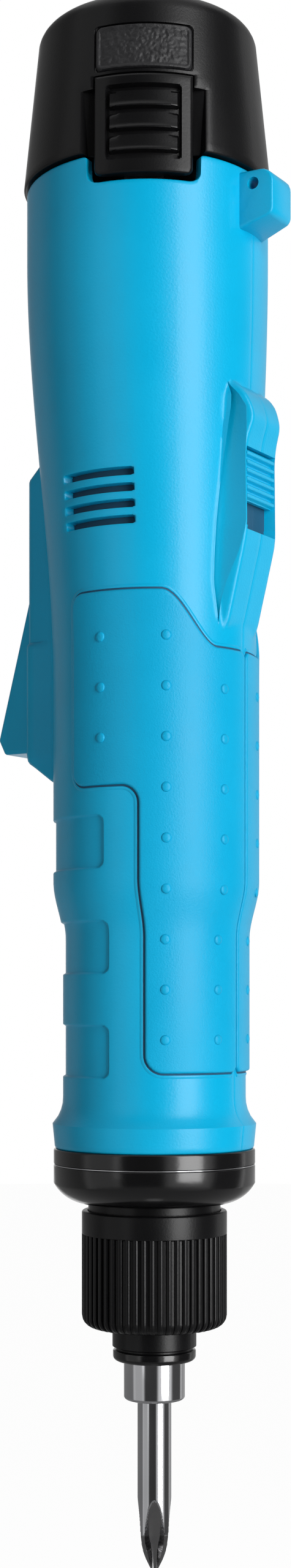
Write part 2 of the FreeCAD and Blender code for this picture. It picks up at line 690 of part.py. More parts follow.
nodes["bit_lock_sleeve"] = turned(
    "bit_lock_sleeve",
    [
        ("spindle_nose_diameter / 2 + run_gap", "sleeve_bottom"),
        ("sleeve_diameter / 2 - sleeve_chamfer * 0.8", "sleeve_bottom"),
        ("sleeve_diameter / 2", "sleeve_bottom + sleeve_chamfer"),
        ("sleeve_diameter / 2", "sleeve_top"),
        ("spindle_nose_diameter / 2 + sleeve_relief + slide_gap", "sleeve_top"),
        ("spindle_nose_diameter / 2 + sleeve_relief + slide_gap", "land_top"),
        ("spindle_nose_diameter / 2 + run_gap", "land_top"),
        ("spindle_nose_diameter / 2 + run_gap", "ball_level - ball_diameter / 2 - seat_gap"),
        (
            "spindle_nose_diameter / 2 + sleeve_relief",
            "ball_level - ball_diameter / 2 - seat_gap - sleeve_relief",
        ),
        ("spindle_nose_diameter / 2 + sleeve_relief", "ball_level - sleeve_travel - ball_diameter / 2"),
        (
            "spindle_nose_diameter / 2 + run_gap",
            "ball_level - sleeve_travel - ball_diameter / 2 - sleeve_relief",
        ),
    ],
)
nodes["sleeve_clip"] = ring(
    "sleeve_clip",
    "spindle_nose_diameter / 2",
    "spindle_nose_diameter / 2 + sleeve_relief",
    "clip_bottom",
    "spindle_step",
)
nodes["sleeve_spring"] = coil(
    "sleeve_spring",
    num("spindle_nose_diameter / 2 + (sleeve_relief + slide_gap) / 2"),
    num("sleeve_wire"),
    num("land_top"),
    num("clip_bottom"),
    whole("sleeve_turns"),
)
balls = []
for side in (-1, 1):
    ball = doc.addObject("Part::Sphere", "lock_ball")
    ball.setExpression("Radius", bound("ball_diameter / 2"))
    ball.setExpression("Placement.Base.x", bound(f"{side} * (spindle_nose_diameter - ball_diameter) / 2"))
    ball.setExpression("Placement.Base.z", bound("ball_level"))
    balls.append(ball)
nodes["lock_balls"] = group("lock_balls", *balls)

# Spindle.
spindle = turned(
    "spindle_blank",
    [
        ("0", "spindle_bottom"),
        ("spindle_nose_diameter / 2", "spindle_bottom"),
        ("spindle_nose_diameter / 2", "spindle_step"),
        ("spindle_diameter / 2", "spindle_step"),
        ("spindle_diameter / 2", "carrier_bottom"),
        ("spindle_tail_diameter / 2", "carrier_bottom"),
        ("spindle_tail_diameter / 2", "carrier_top"),
        ("0", "carrier_top"),
    ],
)
pocketed(
    spindle,
    "hex_socket",
    "spindle_bottom",
    "bit_shank_length + seat_gap",
    lambda s: hexagon(s, "bit_diameter + 2 * hex_gap"),
)
ball_hole = rod(
    "ball_hole",
    "ball_diameter / 2 + run_gap",
    "2 * spindle_diameter",
    "-spindle_diameter",
    "0",
    "ball_level",
    Vec(1, 0, 0),
)
nodes["spindle"] = minus("spindle", spindle, ball_hole)
bush_inner = "spindle_diameter / 2 + run_gap"
nodes["spindle_bush_lower"] = ring(
    "spindle_bush_lower",
    bush_inner,
    "neck_bore / 2",
    "lower_bush_bottom",
    "lower_bush_bottom + bush_height",
)
nodes["spindle_bush_upper"] = ring(
    "spindle_bush_upper", bush_inner, "neck_bore / 2", "upper_bush_bottom", "neck_top"
)

# Neck, torque collar and torque spring.
nodes["lip_ring"] = turned(
    "lip_ring",
    [
        ("neck_bore / 2", "neck_bottom"),
        ("lip_diameter / 2 - lip_chamfer", "neck_bottom"),
        ("lip_diameter / 2", "neck_bottom + lip_chamfer"),
        ("lip_diameter / 2", "lip_top"),
        ("neck_bore / 2", "lip_top"),
    ],
)
neck = turned(
    "neck_blank",
    [
        ("neck_bore / 2", "lip_top"),
        ("lip_diameter / 2 - 2 * lip_groove", "lip_top"),
        ("lip_diameter / 2 - 2 * lip_groove", "lip_top + lip_groove"),
        ("neck_tip_diameter / 2", "lip_top + 2 * lip_groove"),
        ("neck_tip_diameter / 2", "web_bottom"),
        ("neck_diameter / 2 - neck_wall", "web_bottom"),
        ("neck_diameter / 2 - neck_wall", "web_bottom - neck_skirt"),
        ("neck_diameter / 2", "web_bottom - neck_skirt"),
        ("neck_diameter / 2", "nose_floor_top"),
        ("neck_flange_diameter / 2", "nose_floor_top"),
        ("neck_flange_diameter / 2", "neck_top"),
        ("neck_bore / 2", "neck_top"),
    ],
)
pin_hole = pocketed(
    neck,
    "pin_hole",
    "web_bottom",
    "neck_top - web_bottom",
    lambda s: circle(s, "push_pin_diameter / 2 + run_gap", "spring_circle"),
)
repeated(neck, pin_hole, "push_pins")
nodes["neck"] = neck
collar = turned(
    "torque_collar",
    [
        ("neck_tip_diameter / 2 + slide_gap", "collar_bottom"),
        ("collar_diameter / 2 - collar_round", "collar_bottom", "collar_round"),
        ("collar_diameter / 2", "collar_bottom + collar_round"),
        ("collar_diameter / 2", "collar_top"),
        ("neck_diameter / 2 + slide_gap", "collar_top"),
        ("neck_diameter / 2 + slide_gap", "washer_bottom"),
        ("neck_tip_diameter / 2 + slide_gap", "washer_bottom"),
    ],
)
knurl = pocketed(
    collar,
    "knurl_groove",
    "collar_bottom + collar_round",
    "collar_length - collar_round - collar_band",
    lambda s: outline(
        s,
        [
            ("collar_diameter / 2 - rib_depth", "0"),
            ("collar_diameter / 2 + rib_depth", "-rib_gap"),
            ("collar_diameter / 2 + rib_depth", "rib_gap"),
        ],
    ),
)
repeated(collar, knurl, "collar_ribs")
nodes["torque_collar"] = collar
nodes["thrust_washer"] = ring("thrust_washer", "washer_inner", "washer_outer", "washer_bottom", "washer_top")
spring_seat = ring("spring_seat", "washer_inner", "washer_outer", "seat_bottom", "seat_top")
push_pin = padded(
    spring_seat,
    "push_pin",
    "seat_top",
    "clutch_ring_bottom - seat_gap - seat_top",
    lambda s: circle(s, "push_pin_diameter / 2", "spring_circle"),
)
repeated(spring_seat, push_pin, "push_pins")
nodes["spring_seat"] = spring_seat
nodes["clutch_spring"] = coil(
    "clutch_spring",
    num("spring_circle"),
    num("clutch_wire"),
    num("washer_top"),
    num("seat_bottom"),
    whole("clutch_turns"),
)
# Nose rings.
nodes["nose_cap"] = turned(
    "nose_cap",
    [
        ("neck_diameter / 2 + slide_gap", "nose_bottom"),
        ("neck_diameter / 2 + 2 * slide_gap", "nose_bottom", "nose_edge_radius"),
        ("nose_radius", "nose_bottom + nose_edge"),
        ("nose_radius", "nose_cap_top - nose_bevel"),
        ("nose_radius - nose_bevel", "nose_cap_top"),
        ("ring_radius + clutch_room", "nose_cap_top"),
        ("ring_radius + clutch_room", "neck_top"),
        ("neck_flange_diameter / 2 + slide_gap", "neck_top"),
        ("neck_flange_diameter / 2 + slide_gap", "nose_floor_top"),
        ("neck_diameter / 2 + slide_gap", "nose_floor_top"),
    ],
)
nodes["nose_flange"] = turned(
    "nose_flange",
    [
        ("ring_radius + slide_gap", "nose_cap_top"),
        ("nose_radius - nose_bevel", "nose_cap_top"),
        ("nose_radius", "nose_cap_top + nose_bevel"),
        ("nose_radius", "nose_flange_top - nose_bevel"),
        ("nose_radius - nose_bevel", "nose_flange_top"),
        ("slim_diameter / 2 - wall", "nose_flange_top"),
        ("slim_diameter / 2 - wall", "housing_bottom"),
        ("ring_radius + slide_gap", "housing_bottom"),
    ],
)

# Two planetary stages. Sun teeth and planet teeth stand on the X axis, the ring has a space there.
mesh_tip = "gear_module * (ring_teeth / 2 - tooth_addendum)"
for name, bottom, top in (
    ("clutch_ring", "clutch_ring_bottom", "clutch_ring_top"),
    ("rear_ring", "rear_ring_bottom", "motor_plate_bottom"),
):
    gear = ring(name, mesh_tip, "ring_radius", bottom, top)
    cut_teeth(gear, name + "_space", "ring_teeth", bottom, f"{top} - {bottom}", inward=True)
    nodes[name] = gear


def planet(name, index, bottom):
    gear = new_body(name)
    padded(gear, name + "_blank", bottom, "gear_face", lambda s: circle(s, tip_radius("planet_teeth")))
    pocketed(
        gear,
        name + "_bore",
        bottom,
        "gear_face",
        lambda s: circle(s, "planet_pin_diameter / 2 + run_gap"),
    )
    cut_teeth(gear, name + "_space", "planet_teeth", bottom, "gear_face", turn=180.0 / whole("planet_teeth"))
    heading = 360.0 * index / whole("planets")
    arm = math.radians(heading)
    gear.Placement = FreeCAD.Placement(Vec(), FreeCAD.Rotation(Vec(0, 0, 1), heading))
    gear.setExpression("Placement.Base.x", bound(f"planet_circle * {math.cos(arm):.9f}"))
    gear.setExpression("Placement.Base.y", bound(f"planet_circle * {math.sin(arm):.9f}"))
    return gear


def planet_pins(body, name, level):
    pin = padded(
        body,
        name,
        level,
        "gear_gap + gear_face + gear_gap",
        lambda s: circle(s, "planet_pin_diameter / 2", "planet_circle"),
    )
    repeated(body, pin, "planets")


output_carrier = ring(
    "output_carrier", "spindle_tail_diameter / 2", "carrier_radius", "carrier_bottom", "carrier_top"
)
planet_pins(output_carrier, "output_pin", "carrier_top")
nodes["output_carrier"] = output_carrier
first_carrier = turned(
    "first_carrier",
    [
        ("0", "out_planet_bottom"),
        (tip_radius("sun_teeth"), "out_planet_bottom"),
        (tip_radius("sun_teeth"), "first_carrier_bottom"),
        ("carrier_radius", "first_carrier_bottom"),
        ("carrier_radius", "first_carrier_top"),
        ("0", "first_carrier_top"),
    ],
)
sun_turn = 180.0 / whole("sun_teeth")
cut_teeth(
    first_carrier,
    "second_sun_space",
    "sun_teeth",
    "out_planet_bottom",
    "first_carrier_bottom - out_planet_bottom",
    turn=sun_turn,
)
planet_pins(first_carrier, "first_pin", "first_carrier_top")
nodes["first_carrier"] = first_carrier
for index in range(whole("planets")):
    letter = "abc"[index % 3]
    nodes["output_planet_" + letter] = planet("output_planet_" + letter, index, "out_planet_bottom")
    nodes["first_planet_" + letter] = planet("first_planet_" + letter, index, "in_planet_bottom")

# Motor.
nodes["motor_plate"] = ring(
    "motor_plate",
    "gear_module * (sun_teeth / 2 + tooth_addendum) + seat_gap",
    "ring_radius",
    "motor_plate_bottom",
    "motor_bottom",
)
shaft = turned(
    "motor_shaft",
    [
        ("0", "in_planet_bottom"),
        (tip_radius("sun_teeth"), "in_planet_bottom"),
        (tip_radius("sun_teeth"), "motor_plate_bottom"),
        ("motor_shaft_diameter / 2", "motor_plate_bottom"),
        ("motor_shaft_diameter / 2", "motor_top + seat_gap"),
        ("0", "motor_top + seat_gap"),
    ],
)
cut_teeth(
    shaft,
    "first_sun_space",
    "sun_teeth",
    "in_planet_bottom",
    "motor_plate_bottom - in_planet_bottom",
    turn=sun_turn,
)
nodes["motor_shaft"] = shaft
can_inner = "motor_diameter / 2 - motor_wall"
bearing_outer = "motor_bearing_diameter / 2"
nodes["motor_can"] = turned(
    "motor_can",
    [
        (bearing_outer, "motor_bottom"),
        ("motor_diameter / 2", "motor_bottom"),
        ("motor_diameter / 2", "motor_top"),
        (can_inner, "motor_top"),
        (can_inner, "motor_bottom + motor_bearing_height"),
        (bearing_outer, "motor_bottom + motor_bearing_height"),
    ],
)
nodes["motor_end_cap"] = ring(
    "motor_end_cap", bearing_outer, can_inner, "motor_top - motor_bearing_height", "motor_top"
)
shaft_seat = "motor_shaft_diameter / 2 + run_gap"
nodes["motor_bearings"] = group(
    "motor_bearings",
    ring(
        "bearing_front", shaft_seat, bearing_outer, "motor_bottom", "motor_bottom + motor_bearing_height"
    ),
    ring("bearing_rear", shaft_seat, bearing_outer, "motor_top - motor_bearing_height", "motor_top"),
)
stator_foot = "motor_bottom + (motor_length - stator_length) / 2"
stator = ring(
    "motor_stator", "magnet_diameter / 2 + air_gap", can_inner, stator_foot, f"{stator_foot} + stator_length"
)
slot = pocketed(
    stator,
    "winding_slot",
    stator_foot,
    "stator_length",
    lambda s: outline(
        s,
        [
            ("magnet_diameter / 2 + air_gap + slot_tip", "-slot_width / 2"),
            (f"{can_inner} - slot_yoke", "-slot_width / 2"),
            (f"{can_inner} - slot_yoke", "slot_width / 2"),
            ("magnet_diameter / 2 + air_gap + slot_tip", "slot_width / 2"),
        ],
    ),
)
repeated(stator, slot, "stator_slots")
nodes["motor_stator"] = stator
magnet_foot = "motor_bottom + (motor_length - magnet_length) / 2"
nodes["motor_magnet"] = ring(
    "motor_magnet",
    "motor_shaft_diameter / 2",
    "magnet_diameter / 2",
    magnet_foot,
    f"{magnet_foot} + magnet_length",
)

# Housing form: turned foot and grip, then a loft that leans to the front.
def ease(share):
    return share * share * (3 - 2 * share)


def lower_form(grow):
    """The turned foot and grip, with the surface moved outward by grow."""
    foot = num("housing_bottom")
    rim_level = foot + num("flange_height")
    rim_radius = num("flange_diameter / 2") + grow
    slim = num("slim_diameter / 2") + grow
    full = num("grip_diameter / 2") + grow
    flare = num("flare_top")
    low = num("slim_top")
    high = num("swell_top")
    middle = Vec((slim + full) / 2, (low + high) / 2, 0)
    swing = ((high - low) ** 2 / 4 + (full - slim) ** 2 / 4) / (full - slim)
    top = num("taper_bottom")
    start = Vec(num("flange_foot_diameter / 2") + grow, foot, 0)
    crest = Vec(rim_radius, rim_level, 0)
    throat = Vec(slim, flare, 0)
    waist = Vec(slim, low, 0)
    chest = Vec(full, high, 0)
    peak = Vec(full, top, 0)
    sides = [
        Part.LineSegment(Vec(0, foot, 0), start),
        Part.LineSegment(start, crest),
        arc_between(crest, throat, -num("flare_radius")),
        Part.LineSegment(throat, waist),
        arc_between(waist, middle, -swing),
        arc_between(middle, chest, swing),
        Part.LineSegment(chest, peak),
        Part.LineSegment(peak, Vec(0, top, 0)),
        Part.LineSegment(Vec(0, top, 0), Vec(0, foot, 0)),
    ]
    face = Part.Face(Part.Wire([side.toShape() for side in sides]))
    face.rotate(Vec(), Vec(1, 0, 0), 90)
    return face.revolve(Vec(), Vec(0, 0, 1), 360)


def upper_form(grow, extra):
    """The leaning loft over the grip and the straight battery end."""
    low = num("taper_bottom")
    rings = []
    steps = 5
    for step in range(steps + 1):
        share = step / steps
        radius = num("grip_diameter / 2") + num("(head_diameter - grip_diameter) / 2") * ease(share) + grow
        centre = Vec(-num("head_shift") * ease(share), 0, low + num("taper_height") * share)
        rings.append(Part.Wire([Part.makeCircle(radius, centre, Vec(0, 0, 1))]))
    taper = Part.makeLoft(rings, True, False)
    head = Part.makeCylinder(
        num("head_diameter / 2") + grow,
        num("head_length") + extra,
        Vec(-num("head_shift"), 0, num("taper_top")),
    )
    return taper.fuse(head)


def housing_form(grow, extra=0.0):
    return lower_form(grow).fuse(upper_form(grow, extra)).removeSplitter()


def at_latch(shape, side):
    """A shape made at the back of the battery axis, turned to the latch on one side."""
    turn = shape.copy()
    turn.rotate(Vec(), Vec(0, 0, 1), side * num("latch_angle"))
    turn.translate(Vec(-num("head_shift"), 0, 0))
    return turn


outer = housing_form(0.0)
wall = num("wall")
foot = num("housing_bottom")
rim = num("rim")
far = num("head_diameter")

guard_reach = num("guard_reach")
guard_foot = num("guard_foot")
guard_top = num("guard_top")
guard = side_prism(
    [
        (-num("slim_diameter / 2") + wall, guard_foot),
        (-num("grip_diameter / 2"), guard_foot),
        (-guard_reach, guard_foot + num("guard_foot_slope")),
        (-guard_reach, guard_top - num("guard_top_slope")),
        (-num("grip_diameter / 2") - num("guard_round"), guard_top),
        (-num("slim_diameter / 2") + wall, guard_top),
    ],
    num("guard_width"),
)
guard = guard.makeFillet(
    num("guard_round"),
    edges_where(
        guard,
        lambda e: abs(e.BoundBox.XMax + guard_reach) < 0.01 and e.BoundBox.ZLength > 1
        or (abs(abs(e.CenterOfMass.y) - num("guard_width / 2")) < 0.01
            and e.BoundBox.XLength > 1
            and e.CenterOfMass.x < -num("grip_diameter / 2")
            and e.BoundBox.ZLength > 1),
    ),
)

crown = num("boss_crown")
boss_end = crown - num("boss_length")
slider_top = num("slider_top")
well_end = num("slider_bottom - slider_travel - seat_gap")
inside = num("slim_diameter / 2") - wall
spots = [
    Vec(inside, 0, boss_end),
    Vec(num("grip_diameter / 2"), 0, boss_end),
    Vec(num("boss_low"), 0, well_end - num("ridge_height")),
    Vec(num("boss_low"), 0, slider_top - num("ridge_height")),
    Vec(num("boss_peak"), 0, slider_top + num("slider_down") * 0.35),
    Vec(num("head_diameter / 2 - head_shift"), 0, crown),
    Vec(inside, 0, crown),
]
hump = Part.Arc(spots[3], (spots[3] + spots[4]) * 0.5 - Vec(num("ridge_height") * 0.4, 0, 0), spots[4])
slope = Part.Arc(
    spots[4], (spots[4] + spots[5]) * 0.5 + Vec(num("ridge_height"), 0, 0), spots[5]
)
boss_sides = [
    Part.LineSegment(spots[0], spots[1]),
    Part.LineSegment(spots[1], spots[2]),
    Part.LineSegment(spots[2], spots[3]),
    hump,
    slope,
    Part.LineSegment(spots[5], spots[6]),
    Part.LineSegment(spots[6], spots[0]),
]
boss_face = Part.Face(Part.Wire([side.toShape() for side in boss_sides]))
boss_face.translate(Vec(0, -num("boss_width / 2"), 0))
boss = boss_face.extrude(Vec(0, num("boss_width"), 0))
boss = boss.makeChamfer(
    num("boss_bevel"),
    edges_where(
        boss,
        lambda e: e.BoundBox.YLength < 0.01 and e.CenterOfMass.x > num("grip_diameter / 2") + 0.1
        and e.BoundBox.ZLength > 1,
    ),
)

# Cavity, ribs and bosses.
cavity = lower_form(-wall).fuse(upper_form(-wall, wall))
bore = Part.makeCylinder(
    num("slim_diameter / 2") - wall, num("slim_top") - foot + wall, Vec(0, 0, foot - wall)
)
cavity = cavity.common(
    Part.makeBox(4 * far, 4 * far, rim + wall - num("flare_top"), Vec(-2 * far, -2 * far, num("flare_top")))
)
cavity = cavity.fuse(bore)
ribs = []
for level in (
    num(stator_foot),
    num("motor_top - motor_bearing_height"),
):
    hoop = Part.makeCylinder(num("grip_diameter / 2"), num("motor_bearing_height"), Vec(0, 0, level))
    hoop = hoop.cut(
        Part.makeCylinder(
            num("motor_diameter / 2 + slide_gap"), num("motor_bearing_height"), Vec(0, 0, level)
        )
    )
    ribs.append(hoop)
screw_spots = []
for sign in (-1, 1):
    screw_spots.append((sign * num("low_screw_reach"), num("low_screws")))
    screw_spots.append((sign * num("high_screw_reach"), num("high_screws")))
for x, z in screw_spots:
    ribs.append(
        Part.makeCylinder(num("screw_boss_diameter / 2"), 2 * far, Vec(x, -far, z), Vec(0, 1, 0))
    )
board = Part.makeBox(
    num("board_thickness + 2 * slide_gap"),
    num("board_width + 2 * slide_gap"),
    num("board_height + 2 * slide_gap"),
    Vec(
        num("board_behind - slide_gap"),
        -num("board_width / 2 + slide_gap"),
        num("board_bottom - slide_gap"),
    ),
)
rail = Part.makeBox(
    num("rail_depth"),
    2 * far,
    num("board_height / 2"),
    Vec(
        num("board_behind + board_thickness / 2 - rail_depth / 2"),
        -far,
        num("board_bottom + board_height / 4"),
    ),
)
rail_inner = num("board_width / 2") - num("board_thickness")
rail = rail.cut(
    Part.makeBox(4 * far, 2 * rail_inner, 4 * far, Vec(-2 * far, -rail_inner, num("board_bottom") - 2 * far))
)
ribs.append(rail.cut(board))


def cradle(front, depth, half_width, bottom, height):
    """Two ribs that hold a switch from both sides."""
    bar = Part.makeBox(depth, 2 * far, height, Vec(front, -far, bottom))
    return bar.cut(Part.makeBox(depth, 2 * half_width, height, Vec(front, -half_width, bottom)))


ribs.append(
    cradle(
        -num("switch_front - (switch_depth - switch_hold) / 2"),
        num("switch_hold"),
        num("switch_width / 2 + slide_gap"),
        num("switch_bottom + switch_height * 0.55"),
        num("switch_height * 0.25"),
    )
)
ribs.append(
    cradle(
        num("reverser_back - (reverser_depth + reverser_hold) / 2"),
        num("reverser_hold"),
        num("reverser_width / 2 + slide_gap"),
        num("reverser_bottom + reverser_height * 0.35"),
        num("reverser_height * 0.3"),
    )
)
ledge_foot = Vec(0, 0, num("terminal_bottom") - wall)
ledge = Part.makeCylinder(far, wall, ledge_foot)
ledge = ledge.cut(Part.makeCylinder(num("terminal_diameter / 2") - wall, wall, ledge_foot))
ribs.append(ledge)
ribs = [rib.common(outer) for rib in ribs]

body = outer.fuse([guard, boss]).cut(cavity)
body = body.fuse(ribs)

# Openings of the housing.
cuts = []
lever_slot_width = num("lever_width + 2 * lever_side_gap")
slot_foot = num("lever_end") - num("lever_lip") / 2
cuts.append(
    Part.makeBox(
        2 * guard_reach,
        lever_slot_width,
        num("lever_pivot + lever_rise + lever_side_gap") - slot_foot,
        Vec(-2.5 * guard_reach, -lever_slot_width / 2, slot_foot),
    )
)
pin_length = num("lever_pin_length")
cuts.append(
    Part.makeCylinder(
        num("lever_pin_diameter / 2"),
        pin_length,
        Vec(-num("lever_pivot_reach"), -pin_length / 2, num("lever_pivot")),
        Vec(0, 1, 0),
    )
)
well_width = num("slider_width + 2 * slide_gap")
well_floor = num("slider_face - slider_plate - ridge_height - seat_gap")
well = Part.makeBox(
    far, well_width, num("slider_top + seat_gap") - well_end, Vec(well_floor, -well_width / 2, well_end)
)
cuts.append(
    well.makeFillet(
        num("ridge_height"),
        edges_where(well, lambda e: e.BoundBox.XLength > 1),
    )
)
slit = num("slide_gap + seat_gap")
cuts.append(
    Part.makeBox(
        far,
        num("stem_width") + 2 * slit,
        num("stem_height + slider_travel") + 2 * slit,
        Vec(num("stem_reach"), -num("stem_width / 2") - slit, num("stem_level - slider_travel") - slit),
    )
)
vent_long = num("vent_front + vent_back")
for step in range(whole("vent_count")):
    level = foot + num("vent_first") + step * num("vent_pitch")
    vent = Part.makeBox(
        vent_long,
        4 * far,
        num("vent_height"),
        Vec(-num("vent_front"), -2 * far, level - num("vent_height / 2")),
    )
    vent = vent.makeFillet(
        num("vent_height") * 0.45, edges_where(vent, lambda e: e.BoundBox.YLength > 1)
    )
    cuts.append(vent)
band = housing_form(2 * num("pad_proud")).cut(housing_form(-num("finger_depth")))
for step in range(whole("finger_count")):
    level = foot + num("finger_first") + step * num("finger_pitch")
    patch = Part.makeBox(
        far + num("finger_edge"), 2 * far, num("finger_height"), Vec(-far, -far, level)
    )
    patch = patch.makeFillet(
        num("pad_corner"),
        edges_where(patch, lambda e: e.BoundBox.YLength > 1 and e.CenterOfMass.x > 0),
    )
    cuts.append(band.common(patch))
notch_half = num("latch_width / 2 + notch_side")
for side in (-1, 1):
    notch = Part.makeBox(
        far,
        2 * notch_half,
        num("latch_below + notch_below") + wall,
        Vec(num("head_diameter / 4"), -notch_half, rim - num("latch_below + notch_below")),
    )
    notch = notch.makeFillet(
        num("notch_round"),
        edges_where(notch, lambda e: e.BoundBox.XLength > 1 and e.CenterOfMass.z < rim),
    )
    cuts.append(at_latch(notch, side))
    dent_half = num("spring_width / 2 + seat_gap")
    dent = Part.makeBox(
        num("head_diameter / 2 - wall + spring_bump + seat_gap"),
        2 * dent_half,
        num("spring_tail / 2 + 2 * seat_gap"),
        Vec(0, -dent_half, num("latch_bottom - spring_tail + 1 - seat_gap")),
    )
    cuts.append(at_latch(dent, side))

# Soft grip: a raised skin with one outline, drawn from the side.
pad_low = foot + num("pad_bottom")
pad_step = foot + num("pad_step")
pad_high = foot + num("pad_top")
pad_end = pad_high - num("pad_drop")
slope_start = Vec(num("pad_slope_start"), 0, pad_high)
slope_end = Vec(num("pad_slope_end"), 0, pad_end)
middle = (slope_start + slope_end) * 0.5
bend = Vec(0, 0, num("pad_corner") * 0.5)
pad_spots = [
    slope_end,
    Vec(far, 0, pad_end),
    Vec(far, 0, pad_low),
    Vec(num("pad_back"), 0, pad_low),
    Vec(num("pad_back"), 0, pad_step),
    Vec(-num("pad_front"), 0, pad_step),
    Vec(-num("pad_front"), 0, pad_high),
    slope_start,
]
pad_sides = [Part.LineSegment(a, b).toShape() for a, b in zip(pad_spots, pad_spots[1:])]
pad_sides.append(Part.Arc(slope_start, (slope_start + middle) * 0.5 + bend, middle).toShape())
pad_sides.append(Part.Arc(middle, (middle + slope_end) * 0.5 - bend, slope_end).toShape())
pad_face = Part.Face(Part.Wire(pad_sides))
pad_prism = pad_face.extrude(Vec(0, far, 0))
pad_prism = pad_prism.makeFillet(
    num("pad_corner"),
    edges_where(
        pad_prism,
        lambda e: e.BoundBox.YLength > 1
        and e.CenterOfMass.x < num("pad_back") + 0.01,
    ),
)
skin = housing_form(num("pad_proud")).cut(housing_form(-num("pad_sunk")))
right_pad = skin.common(pad_prism)
left_pad = right_pad.mirror(Vec(), Vec(0, 1, 0))
nodes["grip_left"] = shaped("grip_left", left_pad)
nodes["grip_right"] = shaped("grip_right", right_pad)

# Hanging lug: one piece whose inner plate is held between the two shells.
lug_crown = rim - num("lug_down")
lug_foot = lug_crown - num("lug_height")
lug_reach = num("lug_reach")
lug_in = num("head_diameter / 2 - head_shift") - wall
lug_out = num("head_diameter / 2 - head_shift")
lug = side_prism(
    [
        (lug_in - num("lug_tail"), lug_foot),
        (lug_out - num("lug_tail"), lug_foot),
        (lug_reach, lug_foot + num("lug_slope")),
        (lug_reach, lug_crown),
        (lug_in - num("lug_tail"), lug_crown),
    ],
    num("lug_width"),
)
lug = lug.makeFillet(
    num("lug_round"),
    edges_where(
        lug,
        lambda e: e.BoundBox.YLength > 1
        and e.CenterOfMass.x > lug_reach - 0.1
        and e.CenterOfMass.z > lug_crown - 0.1,
    ),
)
lug_plate = Part.makeBox(
    num("lug_tail"),
    num("lug_tail_width"),
    num("lug_height"),
    Vec(lug_in - num("lug_tail"), -num("lug_tail_width / 2"), lug_foot),
)
lug_hole = Part.makeCylinder(
    num("lug_hole_diameter / 2"),
    2 * num("lug_width"),
    Vec(num("lug_hole_reach"), -num("lug_width"), lug_crown - num("lug_hole_down")),
    Vec(0, 1, 0),
)
lug_room = lug.fuse(
    Part.makeBox(
        num("lug_tail + seat_gap"),
        num("lug_tail_width") + 2 * num("seat_gap"),
        num("lug_height") + 2 * num("seat_gap"),
        Vec(
            lug_in - num("lug_tail + seat_gap"),
            -num("lug_tail_width / 2 + seat_gap"),
            lug_foot - num("seat_gap"),
        ),
    )
)
cuts.append(lug_room)
nodes["hang_lug"] = shaped("hang_lug", lug.fuse(lug_plate).cut(lug_hole).removeSplitter())

sunk = housing_form(2 * num("pad_proud")).cut(housing_form(-num("pad_sunk")))
pad_pocket = sunk.common(pad_prism)
cuts.append(pad_pocket)
cuts.append(pad_pocket.mirror(Vec(), Vec(0, 1, 0)))
body = body.cut(cuts)

# Screws come in from the right-hand shell.
screws = []
head_seat = num("screw_length") / 2
for step, (x, z) in enumerate(screw_spots):
    thread = rod(
        f"screw_thread_{step}",
        "screw_diameter / 2",
        "screw_length",
        str(x),
        "-screw_length / 2",
        str(z),
        Vec(0, 1, 0),
    )
    head = rod(
        f"screw_head_{step}",
        "screw_head_diameter / 2",
        "screw_head_height",
        str(x),
        "screw_length / 2",
        str(z),
        Vec(0, 1, 0),
    )
    screws.append(plus(f"screw_{step}", thread, head))
nodes["housing_screws"] = group("housing_screws", *screws)
right_holes = []
left_holes = []
for x, z in screw_spots:
    head_hole = Part.makeCylinder(
        num("screw_head_diameter / 2 + slide_gap"), far, Vec(x, head_seat, z), Vec(0, 1, 0)
    )
    shank_hole = Part.makeCylinder(
        num("screw_diameter / 2 + slide_gap"), head_seat, Vec(x, 0, z), Vec(0, 1, 0)
    )
    right_holes.extend([head_hole, shank_hole])
    left_holes.append(
        Part.makeCylinder(
            num("screw_diameter / 2"),
            num("screw_length / 2 + seat_gap"),
            Vec(x, -num("screw_length / 2 + seat_gap"), z),
            Vec(0, 1, 0),
        )
    )
high = 2 * rim
left_space = Part.makeBox(8 * far, 4 * far, 2 * high, Vec(-4 * far, -4 * far, -high))
right_space = Part.makeBox(8 * far, 4 * far, 2 * high, Vec(-4 * far, 0, -high))


def biggest(shape):
    return max(shape.Solids, key=lambda solid: solid.Volume)


nodes["housing_left"] = shaped("housing_left", biggest(body.common(left_space).cut(left_holes)))
nodes["housing_right"] = shaped("housing_right", biggest(body.common(right_space).cut(right_holes)))

# Start lever, its pin, spring and switch.
pivot_x = -num("lever_pivot_reach")
pivot_z = num("lever_pivot")
head_z = pivot_z + num("lever_rise")
tail_z = num("lever_end")
tail_x = -num("lever_reach")
rub_x = -num("lever_rub_reach")
rub_z = num("plunger_level")
half_rub = num("lever_rub_height / 2")
lip = num("lever_lip")
lever_back = pivot_x + num("lever_pin_diameter")
lever_corners = [
    (-guard_reach, head_z),
    (tail_x, tail_z + lip),
    (tail_x + lip / 2, tail_z),
    (pivot_x - lip / 2, tail_z),
    (lever_back - num("lever_pin_diameter") / 2, rub_z - half_rub - lip / 4),
    (rub_x, rub_z - half_rub),
    (rub_x, rub_z + half_rub),
    (lever_back - lip / 4, rub_z + 2 * half_rub),
    (lever_back, pivot_z + lip / 2),
    (pivot_x, head_z),
]
lever = side_prism(lever_corners, num("lever_width"))
lever = lever.makeFillet(
    lip / 4,
    edges_where(
        lever,
        lambda e: e.CenterOfMass.x < -guard_reach - 1 and e.CenterOfMass.z < pivot_z,
    ),
)
lever = lever.cut(
    Part.makeCylinder(
        num("lever_pin_diameter / 2 + run_gap"),
        2 * pin_length,
        Vec(pivot_x, -pin_length, pivot_z),
        Vec(0, 1, 0),
    )
)
nodes["start_lever"] = shaped("start_lever", lever)
nodes["lever_pin"] = rod(
    "lever_pin",
    "lever_pin_diameter / 2",
    "lever_pin_length",
    "-lever_pivot_reach",
    "-lever_pin_length / 2",
    "lever_pivot",
    Vec(0, 1, 0),
)
